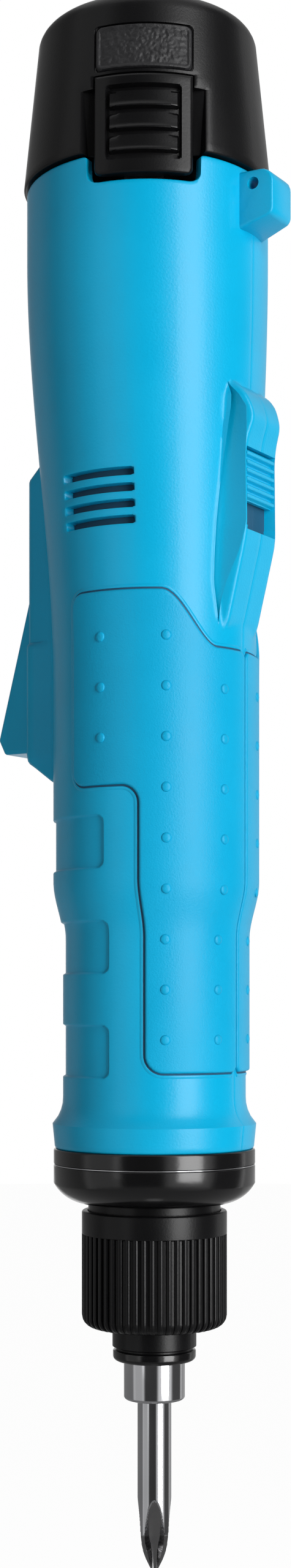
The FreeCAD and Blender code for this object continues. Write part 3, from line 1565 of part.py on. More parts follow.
switch_box = block(
    "switch_box",
    "-switch_front",
    "-switch_width / 2",
    "switch_bottom",
    "switch_depth",
    "switch_width",
    "switch_height",
)
plunger_bore = rod(
    "plunger_bore",
    "plunger_diameter / 2 + run_gap",
    "plunger_length + 1",
    "-switch_front",
    "0",
    "plunger_level",
    Vec(1, 0, 0),
)
nodes["start_switch"] = minus("start_switch", switch_box, plunger_bore)
nodes["switch_plunger"] = rod(
    "switch_plunger",
    "plunger_diameter / 2",
    "plunger_length",
    "-plunger_front",
    "0",
    "plunger_level",
    Vec(1, 0, 0),
)
lever_face = lever_back - lip / 4 + (num("spring_level") - (rub_z + 2 * half_rub)) / (
    pivot_z + lip / 2 - (rub_z + 2 * half_rub)
) * (lip / 4)
lever_coil = coil(
    "lever_coil",
    num("(lever_coil_diameter - lever_wire) / 2"),
    num("lever_wire"),
    0.0,
    -num("switch_front") - lever_face - num("slide_gap"),
    whole("lever_turns"),
).Shape.copy()
lever_coil.rotate(Vec(), Vec(0, 1, 0), 90)
lever_coil.translate(Vec(lever_face + num("slide_gap") / 2, 0, num("spring_level")))
nodes["lever_spring"] = shaped("lever_spring", lever_coil)

# Direction slider and its switch.
slider_plate = num("slider_plate")
slider_back = num("slider_face - slider_plate - ridge_height")
slider_length = num("slider_length")
slider_width = num("slider_width")
slider_bottom = num("slider_bottom")
pieces = [
    Part.makeBox(
        slider_plate, slider_width, slider_length, Vec(slider_back, -slider_width / 2, slider_bottom)
    ),
    Part.makeBox(
        slider_back - num("stem_reach"),
        num("stem_width"),
        num("stem_height"),
        Vec(num("stem_reach"), -num("stem_width / 2"), num("stem_level")),
    ),
]
ridge_pitch = slider_length / whole("slider_ridges")
for step in range(whole("slider_ridges")):
    base = slider_bottom + (step + 0.1) * ridge_pitch
    tall = ridge_pitch * 0.8
    front = slider_back + slider_plate
    ridge = side_prism(
        [
            (front, base),
            (front + num("ridge_height"), base + tall * 0.3),
            (front + num("ridge_height"), base + tall * 0.7),
            (front, base + tall),
        ],
        slider_width,
    )
    pieces.append(ridge)
slider = pieces[0].fuse(pieces[1:]).removeSplitter()
nodes["direction_slider"] = shaped("direction_slider", slider)
reverser_box = block(
    "reverser_box",
    "reverser_back - reverser_depth",
    "-reverser_width / 2",
    "reverser_bottom",
    "reverser_depth",
    "reverser_width",
    "reverser_height",
)
reverser_slot = block(
    "reverser_slot",
    "stem_reach - seat_gap",
    "-stem_width / 2 - seat_gap",
    "stem_level - slider_travel - seat_gap",
    "reverser_depth",
    "stem_width + 2 * seat_gap",
    "stem_height + slider_travel + 2 * seat_gap",
)
nodes["direction_switch"] = minus("direction_switch", reverser_box, reverser_slot)

# Control board.
nodes["control_board"] = block(
    "control_board",
    "board_behind",
    "-board_width / 2",
    "board_bottom",
    "board_thickness",
    "board_width",
    "board_height",
)
board_back = "board_behind + board_thickness"
nodes["board_parts"] = group(
    "board_parts",
    *[
        block(
            f"driver_chip_{letter}",
            board_back,
            f"{side} * chip_spacing / 2 - chip_size / 2",
            "board_bottom + board_margin",
            "chip_height",
            "chip_size",
            "chip_size",
        )
        for side, letter in ((-1, "a"), (1, "b"))
    ],
    block(
        "control_chip",
        board_back,
        "-control_chip_size / 2",
        "board_bottom + 2 * board_margin + chip_size",
        "chip_height",
        "control_chip_size",
        "control_chip_size",
    ),
    rod(
        "capacitor",
        "capacitor_diameter / 2",
        "capacitor_length",
        board_back,
        "-chip_spacing / 2",
        "board_bottom + board_height - board_margin - capacitor_diameter / 2",
        Vec(1, 0, 0),
    ),
    block(
        "plug_socket",
        board_back,
        "chip_spacing / 2 - plug_width / 2",
        "board_bottom + board_height - board_margin - plug_height",
        "plug_depth",
        "plug_width",
        "plug_height",
    ),
)

# Battery.
shift = num("head_shift")
stem_bottom = num("stem_bottom")
cell_circle = num("cell_circle")


def lobed(radius, bottom, top):
    """Three round lobes and the straight sides between them, round the battery axis."""
    centres = []
    for step in range(3):
        angle = math.radians(120 * step)
        centres.append(Vec(cell_circle * math.cos(angle) - shift, cell_circle * math.sin(angle), bottom))
    edges = []
    for step, centre in enumerate(centres):
        following = centres[(step + 1) % 3]
        lead = math.radians(120 * step)
        out_start = Vec(math.cos(lead - math.pi / 3), math.sin(lead - math.pi / 3), 0)
        out_middle = Vec(math.cos(lead), math.sin(lead), 0)
        out_end = Vec(math.cos(lead + math.pi / 3), math.sin(lead + math.pi / 3), 0)
        edges.append(
            Part.Arc(
                centre + out_start * radius, centre + out_middle * radius, centre + out_end * radius
            ).toShape()
        )
        edges.append(Part.LineSegment(centre + out_end * radius, following + out_end * radius).toShape())
    return Part.Face(Part.Wire(edges)).extrude(Vec(0, 0, top - bottom))


def cap_profile(shrink, bottom, top):
    """The turned battery form, with the surface moved inward by shrink."""
    low = num("battery_foot_diameter / 2") - shrink
    shoulder = num("battery_top_diameter / 2") - shrink
    edge = num("battery_edge")
    start = Vec(low, 0, bottom)
    turn_in = Vec(shoulder, 0, top - edge)
    crown_edge = Vec(shoulder - edge, 0, top)
    inset = edge * (1 - math.sqrt(0.5))
    bulge = Vec(shoulder - inset, 0, top - inset)
    sides = [
        Part.LineSegment(Vec(0, 0, bottom), start),
        Part.LineSegment(start, turn_in),
        Part.Arc(turn_in, bulge, crown_edge),
        Part.LineSegment(crown_edge, Vec(0, 0, top)),
        Part.LineSegment(Vec(0, 0, top), Vec(0, 0, bottom)),
    ]
    face = Part.Face(Part.Wire([side.toShape() for side in sides]))
    solid = face.revolve(Vec(), Vec(0, 0, 1), 360)
    solid.translate(Vec(-shift, 0, 0))
    return solid


battery_foot = num("battery_foot")
battery_top = num("battery_top")
deck_top = battery_foot + num("deck_height")
cap_outer = cap_profile(0.0, battery_foot, battery_top)
cap_inner = cap_profile(num("battery_wall"), battery_foot, battery_top - num("battery_wall"))
cap = cap_outer.cut(cap_inner)
surface = num("battery_foot_diameter / 2")
recess_half = num("latch_width / 2 + recess_side")
recess_floor = surface - num("recess_back")
recess_top = rim + num("recess_above")
latch_bottom = num("latch_bottom")
latch_top = num("latch_top")
latch_half = num("latch_width / 2")
lean = math.degrees(
    math.atan2(
        num("(battery_foot_diameter - battery_top_diameter) / 2"),
        battery_top - num("battery_edge") - battery_foot,
    )
)
hinge_level = latch_top - num("latch_barrel_down")
hinge_out = recess_floor - num("latch_barrel_back")
barrel_half = num("latch_barrel_width / 2")
barrel_room = num("latch_barrel_diameter / 2 + seat_gap")
lining_wall = num("recess_wall")
linings = []
recesses = []
for side in (-1, 1):
    lining = Part.makeBox(
        far,
        2 * (recess_half + lining_wall),
        recess_top + lining_wall - battery_foot,
        Vec(recess_floor - lining_wall, -recess_half - lining_wall, battery_foot),
    )
    backing_half = latch_half + num("seat_gap") + lining_wall
    backing = Part.makeBox(
        far,
        2 * backing_half,
        latch_top + num("seat_gap") + lining_wall - recess_top,
        Vec(recess_floor - lining_wall, -backing_half, recess_top),
    )
    cheek_half = barrel_half + num("seat_gap") + lining_wall
    cheek = Part.makeBox(
        recess_floor - hinge_out + barrel_room + lining_wall,
        2 * cheek_half,
        2 * (barrel_room + lining_wall),
        Vec(hinge_out - barrel_room - lining_wall, -cheek_half, hinge_level - barrel_room - lining_wall),
    )
    linings.append(at_latch(lining.fuse([backing, cheek]), side).common(cap_outer))
    recess = Part.makeBox(
        far, 2 * recess_half, recess_top - latch_bottom, Vec(recess_floor, -recess_half, latch_bottom)
    )
    slot_half = latch_half + num("seat_gap")
    hinge_room = Part.makeBox(
        far,
        2 * slot_half,
        latch_top + num("seat_gap") - latch_bottom,
        Vec(recess_floor, -slot_half, latch_bottom),
    )
    room_half = barrel_half + num("seat_gap")
    pocket = Part.makeBox(
        recess_floor - hinge_out + barrel_room,
        2 * room_half,
        2 * barrel_room,
        Vec(hinge_out - barrel_room, -room_half, hinge_level - barrel_room),
    )
    recesses.append(at_latch(recess.fuse([hinge_room, pocket]), side))
cap = cap.fuse(linings).cut(recesses)

# Bare pads over the latches, let into the cap.
pads = []
pad_skin = cap_profile(-num("label_proud"), battery_foot, battery_top + num("label_proud")).cut(
    cap_profile(num("label_thickness - label_proud"), battery_foot, battery_top - num("label_thickness"))
)
for side in (-1, 1):
    plate = Part.makeBox(
        far, num("label_width"), num("label_height"), Vec(0, -num("label_width / 2"), num("label_bottom"))
    )
    plate = plate.makeFillet(num("label_gap"), edges_where(plate, lambda e: e.BoundBox.XLength > 1))
    pads.append(pad_skin.common(at_latch(plate, side)))
cap = cap.cut(pads)
nodes["battery_pads"] = shaped("battery_pads", Part.makeCompound(pads))

# Latch pins stand in the cap and carry the latch buttons.
latch_solids = {}
pin_solids = []
back_low = surface + num("latch_proud - latch_thickness")
back_high = back_low - num("latch_back_lean")
for side, name in ((-1, "latch_left"), (1, "latch_right")):
    button_outer = cap_profile(-num("latch_proud"), latch_bottom, battery_top + num("latch_proud"))
    plate = side_prism(
        [(back_low, latch_bottom), (far, latch_bottom), (far, latch_top), (back_high, latch_top)],
        2 * latch_half,
    )
    plate = plate.makeFillet(
        num("notch_round") * 0.6,
        edges_where(
            plate,
            lambda e: e.BoundBox.XLength > 1 and e.BoundBox.YLength < 0.01 and e.CenterOfMass.z < rim,
        ),
    )
    button = button_outer.common(at_latch(plate, side))
    frame = num("latch_frame")
    window = Part.makeBox(
        far,
        2 * (latch_half - frame),
        num("latch_height") - 2 * frame,
        Vec(0, -latch_half + frame, latch_bottom + frame),
    )
    floor_form = cap_profile(
        num("latch_window_depth"), latch_bottom, battery_top - num("latch_window_depth")
    )
    hollow = at_latch(window, side).cut(floor_form)
    button = button.cut(hollow)
    bars = whole("latch_bars")
    opening = num("latch_height") - 2 * frame
    space = (opening - bars * num("latch_bar_height")) / (bars + 1)
    bar_skin = cap_profile(0.0, latch_bottom, battery_top).cut(
        cap_profile(num("latch_window_depth") + 0.2, latch_bottom, battery_top - num("latch_window_depth"))
    )
    rungs = []
    for step in range(bars):
        rung = Part.makeBox(
            far,
            2 * (latch_half - frame - space * 0.6),
            num("latch_bar_height"),
            Vec(
                0,
                -latch_half + frame + space * 0.6,
                latch_bottom + frame + space + step * (space + num("latch_bar_height")),
            ),
        )
        rungs.append(bar_skin.common(at_latch(rung, side)))
    barrel = Part.makeCylinder(
        num("latch_barrel_diameter / 2"),
        2 * barrel_half,
        Vec(hinge_out, -barrel_half, hinge_level),
        Vec(0, 1, 0),
    )
    arm = Part.makeBox(
        back_low - hinge_out,
        2 * barrel_half,
        num("latch_barrel_diameter"),
        Vec(hinge_out, -barrel_half, hinge_level - num("latch_barrel_diameter / 2")),
    )
    knuckle = at_latch(barrel.fuse(arm), side).common(button_outer)
    button = button.fuse(rungs + [knuckle])
    hinge_bore = Part.makeCylinder(
        num("latch_pin_diameter / 2 + run_gap"),
        4 * latch_half,
        Vec(hinge_out, -2 * latch_half, hinge_level),
        Vec(0, 1, 0),
    )
    button = button.cut(at_latch(hinge_bore, side)).removeSplitter()
    latch_solids[name] = biggest(button)
    pin_half = barrel_half + num("seat_gap") + lining_wall * 0.8
    hinge_pin = Part.makeCylinder(
        num("latch_pin_diameter / 2"), 2 * pin_half, Vec(hinge_out, -pin_half, hinge_level), Vec(0, 1, 0)
    )
    pin_solids.append(at_latch(hinge_pin, side))
for name, solid in latch_solids.items():
    nodes[name] = shaped(name, solid)
nodes["latch_pins"] = shaped("latch_pins", Part.makeCompound(pin_solids))
nodes["battery_cap"] = shaped("battery_cap", biggest(cap.cut(pin_solids)))

# Stem with its deck, cells, contacts and latch springs.
deck = Part.makeCylinder(
    surface - num("battery_wall + slide_gap") - num("deck_height") * math.tan(math.radians(lean)),
    num("deck_height"),
    Vec(-shift, 0, battery_foot),
)
stem = lobed(num("lobe_radius"), stem_bottom, deck_top)
stem = stem.fuse(deck)
stem = stem.cut(
    lobed(num("lobe_radius - stem_wall"), stem_bottom + num("stem_wall"), deck_top + num("deck_height"))
)
lining_room = []
for side in (-1, 1):
    room = Part.makeBox(
        far,
        2 * (recess_half + num("recess_wall + slide_gap")),
        2 * num("deck_height"),
        Vec(
            recess_floor - num("recess_wall + slide_gap"),
            -recess_half - num("recess_wall + slide_gap"),
            battery_foot - num("deck_height / 2"),
        ),
    )
    lining_room.append(at_latch(room, side))
blade_slots = []
blades = []
for step in (-1, 0, 1):
    blade_y = step * num("blade_spacing")
    blades.append(
        Part.makeBox(
            num("blade_width"),
            num("blade_thickness"),
            num("blade_length"),
            Vec(
                -shift - num("blade_width / 2"),
                blade_y - num("blade_thickness / 2"),
                num("terminal_bottom") + num("terminal_height") * 0.25,
            ),
        )
    )
    blade_slots.append(
        Part.makeBox(
            num("blade_width + 2 * blade_gap"),
            num("blade_thickness + 2 * blade_gap"),
            num("stem_wall") * 3,
            Vec(
                -shift - num("blade_width / 2 + blade_gap"),
                blade_y - num("blade_thickness / 2 + blade_gap"),
                stem_bottom - num("stem_wall"),
            ),
        )
    )
nodes["battery_stem"] = shaped("battery_stem", biggest(stem.cut(lining_room + blade_slots)))
nodes["terminal_blades"] = shaped("terminal_blades", Part.makeCompound(blades))
terminal = Part.makeCylinder(
    num("terminal_diameter / 2"), num("terminal_height"), Vec(-shift / 2, 0, num("terminal_bottom"))
)
nodes["terminal_block"] = shaped("terminal_block", terminal.cut(blades))
cells = []
for step in range(3):
    angle = math.radians(120 * step)
    cells.append(
        rod(
            f"cell_{step}",
            "cell_diameter / 2",
            "cell_length",
            f"cell_circle * {math.cos(angle):.9f} - head_shift",
            f"cell_circle * {math.sin(angle):.9f}",
            "cell_bottom + blade_length",
        )
    )
nodes["battery_cells"] = group("battery_cells", *cells)

leaf_springs = []
for side in (-1, 1):
    strip = num("spring_strip")
    back = recess_floor
    tail = latch_bottom - num("spring_tail")
    touch = num("head_diameter / 2") - wall
    bump = touch + num("spring_bump")
    reach = num("spring_tail")
    path = [
        (back, hinge_level - barrel_room - strip),
        (back, battery_foot),
        (touch - 3 * strip, latch_bottom - strip),
        (touch - 3 * strip, tail + reach * 0.62),
        (bump - strip, tail + reach * 0.45),
        (bump - strip, tail + reach * 0.3),
        (touch - 3 * strip, tail),
    ]
    leaf = side_prism(
        path + [(x + strip, z) for x, z in reversed(path)],
        num("spring_width"),
    )
    leaf_springs.append(at_latch(leaf, side))
nodes["latch_spring_left"] = shaped("latch_spring_left", leaf_springs[0])
nodes["latch_spring_right"] = shaped("latch_spring_right", leaf_springs[1])

doc.recompute()
folder = "parts"
os.makedirs(folder, exist_ok=True)
for item in doc.Objects:
    if "Invalid" in item.State or "Error" in item.State:
        raise RuntimeError("failed: " + item.Name)
for name, item in sorted(nodes.items()):
    shape = item.Shape
    if shape.isNull() or not shape.isValid() or not shape.Solids:
        raise RuntimeError("bad shape: " + name)
    shape.exportStep(os.path.join(folder, name + ".step"))
    box = shape.BoundBox
    print(f"{name}: {len(shape.Solids)} solids, {shape.Volume:.1f} mm3, z {box.ZMin:.2f} to {box.ZMax:.2f}")
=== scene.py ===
# %% [markdown]
# # A cordless screwdriver in Blender
#
# This lesson dresses a finished mechanical frame so that it looks like the real tool. The frame brings
# every part and body in metres, already in its place, so nothing is moved here. Where the frame is too
# plain we build a richer mesh, let it ride on the same body, and hide the plain node.

# %% Load the frame
import json
import math

import bmesh
import bpy
import numpy as np
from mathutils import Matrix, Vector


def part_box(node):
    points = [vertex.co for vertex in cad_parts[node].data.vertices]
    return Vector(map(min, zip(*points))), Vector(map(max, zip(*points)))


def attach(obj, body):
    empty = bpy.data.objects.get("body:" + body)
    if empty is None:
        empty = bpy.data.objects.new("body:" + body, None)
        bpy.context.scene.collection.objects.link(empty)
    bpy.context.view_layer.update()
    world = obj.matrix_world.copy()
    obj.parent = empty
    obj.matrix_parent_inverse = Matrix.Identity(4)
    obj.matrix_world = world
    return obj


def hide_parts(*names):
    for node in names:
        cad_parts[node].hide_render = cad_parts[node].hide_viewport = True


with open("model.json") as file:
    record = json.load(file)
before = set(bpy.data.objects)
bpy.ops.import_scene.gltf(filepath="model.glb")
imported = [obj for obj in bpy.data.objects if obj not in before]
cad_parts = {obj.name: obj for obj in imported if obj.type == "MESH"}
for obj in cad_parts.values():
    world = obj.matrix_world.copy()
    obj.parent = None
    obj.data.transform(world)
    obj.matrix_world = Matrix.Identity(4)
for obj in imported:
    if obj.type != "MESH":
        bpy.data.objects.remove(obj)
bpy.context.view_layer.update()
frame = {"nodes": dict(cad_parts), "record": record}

MM = 0.001

# %% [markdown]
# ## Levels taken from the frame
#
# Most heights and radii are read from the boxes of the frame's nodes, in millimetres. Working in
# millimetres keeps the numbers readable, and one factor turns them into metres at the end.

# %% Read levels from node boxes
def low(node):
    return np.array(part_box(node)[0]) / MM


def high(node):
    return np.array(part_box(node)[1]) / MM


def foot_and_top(node):
    return low(node)[2], high(node)[2]


housing_foot, housing_rim = foot_and_top("housing_left")
flange_foot, flange_top = foot_and_top("nose_flange")
collar_foot, collar_top = foot_and_top("torque_collar")
battery_foot, battery_top = foot_and_top("battery_cap")
latch_foot, latch_top = foot_and_top("latch_left")
pad_foot, pad_top = foot_and_top("battery_pads")
nose_radius, collar_radius = high("nose_flange")[0], high("torque_collar")[0]
battery_axis = (low("battery_cap")[0] + high("battery_cap")[0]) / 2
SIDES = (("left", 1.0), ("right", -1.0))
print("housing from", round(housing_foot, 1), "to", round(housing_rim, 1), "mm")

# %% [markdown]
# ## Small helpers for smooth shapes
#
# A form is a function that is negative inside a shape and positive outside it, like a distance. Two forms
# join with a minimum, and a soft minimum leaves a fillet between them. `settle` walks along rays from
# outside until it meets such a form, for thousands of points at once.

# %% Steps, fades and forms
def ease(share):
    share = np.clip(share, 0.0, 1.0)
    return share * share * (3.0 - 2.0 * share)


def bell(distance, width):
    return np.exp(-(distance / width) ** 2)


def sunk(gap, wall):
    return ease(0.5 - gap / wall)


def rolled(edge, width, fall, most=1.0):
    return fall * np.clip(1.0 - edge / width, 0.0, most) ** 2


def soft_min(first, second, width):
    share = np.maximum(width - np.abs(first - second), 0.0) / width
    return np.minimum(first, second) - share * share * width / 4.0


def soft_max(first, second, width):
    return -soft_min(-first, -second, width)


def rounded_corner(side, end, radius):
    beyond = np.hypot(np.maximum(side + radius, 0.0), np.maximum(end + radius, 0.0))
    return beyond + np.minimum(np.maximum(side + radius, end + radius), 0.0) - radius


def past_ends(level, foot, top):
    return np.abs(level - (foot + top) / 2.0) - (top - foot) / 2.0


def rounded_box(across, half, level, foot, top, radius):
    return rounded_corner(np.abs(across) - half, past_ends(level, foot, top), radius)


def full_turn(count):
    return np.linspace(0.0, 2.0 * math.pi, count, endpoint=False)


def polar(reach, turn, level, shift=0.0):
    return np.stack(np.broadcast_arrays(shift + reach * np.cos(turn), reach * np.sin(turn), level), axis=-1)


print("helpers for steps, fades and forms are ready")


# %% Rays and grid lines
def settle(form, start, ray, far, near, steps=90, halvings=24):
    outside = np.full(start.shape[0], far)
    inside = np.full(start.shape[0], near)
    found = np.zeros(start.shape[0], bool)
    previous = far
    for reach in np.linspace(far, near, steps)[1:]:
        entered = (form(*(start + ray * reach).T) < 0.0) & ~found
        inside[entered] = reach
        outside[entered] = previous
        found |= entered
        previous = reach
    for _ in range(halvings):
        middle = (inside + outside) / 2.0
        within = form(*(start + ray * middle[:, None]).T) < 0.0
        inside = np.where(within, middle, inside)
        outside = np.where(within, outside, middle)
    return outside


def lines(start, stop, step, marks=(), gap=0.02, crowded=0.35):
    plain = np.linspace(start, stop, max(2, int(math.ceil((stop - start) / step)) + 1))
    marks = np.array([mark for mark in marks if start - 1e-9 <= mark <= stop + 1e-9])
    if marks.size:
        apart = np.abs(plain[:, None] - marks[None, :]).min(axis=1)
        ends = (plain == plain[0]) | (plain == plain[-1])
        plain = np.concatenate([plain[(apart > crowded * step) | ends], marks])
    plain = np.unique(np.round(plain, 6))
    keep = np.concatenate([[True], np.diff(plain) > gap / 2.0])
    return plain[keep]


def runs(spans):
    return [mark for span in spans for mark in np.arange(*span)]


def beside(edges, offsets):
    return [edge + offset for edge in edges for offset in offsets]


print("helpers for rays and grid lines are ready")

# %% [markdown]
# ## Turning points into pieces
#
# Every piece goes through one function: it makes the mesh, points its faces outward, shades it smooth with
# sharp edges where the angle is large, and ties it to its body. Objects stay at the origin, and their place
# is in the mesh. A piece wears the finish of its slot unless it brings finishes of its own.

# %% Meshes, objects and pieces
def grid_faces(rows, columns, wrap=False):
    row, column = np.meshgrid(np.arange(rows - 1), np.arange(columns if wrap else columns - 1), indexing="ij")
    following = (column + 1) % columns
    corners = [row * columns + column, row * columns + following]
    corners += [(row + 1) * columns + following, (row + 1) * columns + column]
    return np.stack([corner.ravel() for corner in corners], axis=1)


def capped_faces(rows, columns):
    last = (rows - 1) * columns
    ends = [list(range(columns))[::-1], list(range(last, last + columns))]
    return grid_faces(rows, columns, wrap=True).tolist() + ends


def new_mesh(name, points, faces=(), unit=MM):
    mesh = bpy.data.meshes.new(name)
    corners = [list(map(int, face)) for face in faces]
    mesh.from_pydata((np.asarray(points, float) * unit).tolist(), [], corners)
    return mesh


def face_outward(mesh):
    shell = bmesh.new()
    shell.from_mesh(mesh)
    bmesh.ops.recalc_face_normals(shell, faces=shell.faces)
    shell.to_mesh(mesh)
    shell.free()


def add_object(name, data):
    added = bpy.data.objects.new(name, data)
    bpy.context.scene.collection.objects.link(added)
    return added


def place_mesh(name, mesh, body, nodes=(), crease=32.0):
    mesh.shade_smooth()
    mesh.set_sharp_from_angle(angle=math.radians(crease))
    piece = add_object(name, mesh)
    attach(piece, body)
    if nodes:
        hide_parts(*nodes)
    return piece


def add_piece(name, points, faces, body, slot, nodes=(), crease=32.0, finishes=(), face_finish=None):
    mesh = new_mesh(name, points, faces)
    for title in finishes or [slot]:
        mesh.materials.append(FINISH[title])
    if face_finish is not None:
        mesh.polygons.foreach_set("material_index", np.asarray(face_finish, dtype=np.int32))
    face_outward(mesh)
    return place_mesh(name, mesh, body, nodes, crease)


def taken_over(base, helpers):
    graph = bpy.context.evaluated_depsgraph_get()
    mesh = bpy.data.meshes.new_from_object(base.evaluated_get(graph), depsgraph=graph)
    for helper in helpers:
        bpy.data.objects.remove(helper)
    return mesh


print("builders for meshes and pieces are ready")


# %% Arcs and turned rings
def arc_points(centre, start, stop, radius, steps):
    spokes = [start * (1.0 - share) + stop * share for share in np.linspace(0.0, 1.0, steps + 1)]
    return [centre + spoke * radius / np.hypot(*spoke) for spoke in spokes]


def arc_centre(first, last, radius, side):
    chord = last - first
    half = np.hypot(*chord) / 2.0
    across = np.array([chord[1], -chord[0]]) / (2.0 * half)
    return (first + last) / 2.0 - side * across * math.sqrt(radius * radius - half * half)


def round_corners(corners, radii, steps=5):
    path = []
    corners = np.array(corners, float)
    for index, radius in enumerate(radii):
        here = corners[index]
        if radius <= 0.0:
            path.append(here)
            continue
        sides = [corners[(index + step) % len(corners)] - here for step in (-1, 1)]
        before, after = (side / np.hypot(*side) for side in sides)
        half = math.acos(float(np.clip(before @ after, -1.0, 1.0))) / 2.0
        cut = radius / math.tan(half)
        bisector = (before + after) / np.hypot(*(before + after))
        centre = here + bisector * radius / math.sin(half)
        path += arc_points(centre, here + before * cut - centre, here + after * cut - centre, radius, steps)
    return path


def lathe(name, profile, body, slot, nodes=(), crease=32.0, finishes=(), segments=160):
    points = np.concatenate([polar(radius, full_turn(segments), level) for radius, level in profile])
    faces = grid_faces(len(profile) + 1, segments, wrap=True) % len(points)
    return add_piece(name, points, faces, body, slot, nodes, crease, finishes)


print("builders for arcs and turned rings are ready")

# %% [markdown]
# ## Finishes made of nodes
#
# One node group, `fine_grain`, gives every finish a soft uneven shade and a grain normal from the object's
# own coordinates, so nothing is stretched over a seam. The Principled shader itself stays in each material.

# %% A shared grain group
GRAIN_INPUTS = ("Grain scale", "Grain depth", "Shade scale")
PLAIN_GRAIN = (1800.0, 0.1, 60.0)
BROAD_DETAIL, FINE_DETAIL, GRAIN_RELIEF = 4.0, 2.0, 0.0002


def fill(node, values):
    for title, value in values.items():
        node.inputs[title].default_value = value


def wire(tree, *cables):
    for source, output, target, entry in cables:
        tree.links.new(source.outputs[output], target.inputs[entry])


def new_nodes(tree, family, *kinds):
    return [tree.nodes.new(family + kind) for kind in kinds]


def grain_group():
    group = bpy.data.node_groups.new("fine_grain", "ShaderNodeTree")
    for title, value in zip(GRAIN_INPUTS, PLAIN_GRAIN):
        socket = group.interface.new_socket(title, in_out="INPUT", socket_type="NodeSocketFloat")
        socket.default_value = value
    for title, kind in (("Shade", "Float"), ("Normal", "Vector")):
        group.interface.new_socket(title, in_out="OUTPUT", socket_type="NodeSocket" + kind)
    enter, leave = new_nodes(group, "NodeGroup", "Input", "Output")
    place, broad, fine, bump = new_nodes(group, "ShaderNode", "TexCoord", "TexNoise", "TexNoise", "Bump")
    fill(broad, {"Detail": BROAD_DETAIL})
    fill(fine, {"Detail": FINE_DETAIL})
    fill(bump, {"Distance": GRAIN_RELIEF})
    wire(group, (place, "Object", broad, "Vector"), (place, "Object", fine, "Vector"),
         (enter, "Shade scale", broad, "Scale"), (enter, "Grain scale", fine, "Scale"),
         (enter, "Grain depth", bump, "Strength"), (fine, "Fac", bump, "Height"),
         (broad, "Fac", leave, "Shade"), (bump, "Normal", leave, "Normal"))
    return group


GRAIN = grain_group()
print("grain group has", len(GRAIN.nodes), "nodes")

# %% One finish
COAT_ROUGHNESS, SHADE_SPAN = 0.2, (0.3, 0.7)


def linear(colour):
    values = [value / 255.0 for value in colour]
    values = [value / 12.92 if value <= 0.04045 else ((value + 0.055) / 1.055) ** 2.4 for value in values]
    return values + [1.0]


def new_paint(name):
    paint = bpy.data.materials.new(name)
    paint.use_nodes = True
    return paint, paint.node_tree


def finish(name, dark, light, rough, metal=0.0, grain=PLAIN_GRAIN, shine=0.5, coat=0.0):
    paint, tree = new_paint(name)
    shader = tree.nodes["Principled BSDF"]
    group, tint, spread = new_nodes(tree, "ShaderNode", "Group", "Mix", "MapRange")
    group.node_tree = GRAIN
    tint.data_type = "RGBA"
    fill(group, dict(zip(GRAIN_INPUTS, grain)))
    fill(tint, {"A": linear(dark), "B": linear(light)})
    fill(spread, dict(zip(("From Min", "From Max", "To Min", "To Max"), SHADE_SPAN + rough)))
    fill(shader, {"Metallic": metal, "Specular IOR Level": shine, "Coat Weight": coat,
                  "Coat Roughness": COAT_ROUGHNESS})
    wire(tree, (group, "Shade", tint, "Factor"), (group, "Shade", spread, "Value"),
         (tint, "Result", shader, "Base Color"), (spread, "Result", shader, "Roughness"),
         (group, "Normal", shader, "Normal"))
    return paint


print("a finish mixes two tints and spreads its roughness")

# %% Plastics and metals
PLASTICS = {
    "blue_plastic": dict(dark=(0, 152, 194), light=(0, 164, 206), rough=(0.28, 0.36),
                         grain=(2600.0, 0.12, 45.0), shine=0.26),
    "soft_grip": dict(dark=(0, 146, 188), light=(0, 158, 200), rough=(0.36, 0.46),
                      grain=(3200.0, 0.2, 60.0), shine=0.2),
    "black_plastic": dict(dark=(9, 9, 10), light=(15, 15, 16), rough=(0.26, 0.34),
                          grain=(2600.0, 0.08, 50.0), shine=0.2),
    "lever_plastic": dict(dark=(40, 40, 44), light=(58, 58, 62), rough=(0.35, 0.5)),
    "grain_pad": dict(dark=(14, 14, 16), light=(30, 30, 32), rough=(0.45, 0.65),
                      grain=(1100.0, 0.9, 700.0), shine=0.35),
    "board_green": dict(dark=(14, 74, 40), light=(26, 102, 56), rough=(0.35, 0.5), grain=(900.0, 0.2, 500.0)),
    "board_black": dict(dark=(20, 20, 22), light=(34, 34, 38), rough=(0.4, 0.6)),
    "cell_wrap": dict(dark=(52, 92, 60), light=(70, 118, 80), rough=(0.25, 0.4), coat=0.3),
    "gloss_black": dict(dark=(7, 7, 8), light=(11, 11, 12), rough=(0.14, 0.2), grain=(1500.0, 0.03, 40.0)),
    "groove_shadow": dict(dark=(0, 64, 92), light=(0, 78, 110), rough=(0.6, 0.8)),
    # Painted shade: a dark teal for the vent floors, standing in for the shade inside the vents.
    "vent_hollow": dict(dark=(0, 54, 76), light=(0, 68, 94), rough=(0.7, 0.9)),
}
METALS = {
    "polished_steel": ((176, 177, 180), (196, 196, 198), (0.07, 0.12), (400.0, 0.015, 90.0)),
    # Flute steel: the higher roughness is a real ground finish, and the darker tint is painted shade in the
    # flutes.
    "tip_steel": ((112, 112, 115), (140, 139, 138), (0.16, 0.26), (500.0, 0.05, 260.0)),
    "spring_steel": ((120, 122, 126), (160, 161, 164), (0.25, 0.4), (900.0, 0.1, 200.0)),
    "gear_steel": ((132, 132, 134), (168, 168, 170), (0.3, 0.45), (900.0, 0.15, 200.0)),
    "bearing_bronze": ((150, 104, 56), (184, 134, 78), (0.3, 0.45), (1500.0, 0.2, 300.0)),
    "contact_brass": ((186, 150, 84), (212, 178, 108), (0.2, 0.32), (700.0, 0.05, 200.0)),
}
FINISH = {name: finish(name, **look) for name, look in PLASTICS.items()}
for name, (dark, light, rough, grain) in METALS.items():
    FINISH[name] = finish(name, dark, light, rough, 1.0, grain)
print(len(PLASTICS), "plastic and", len(METALS), "metal finishes")

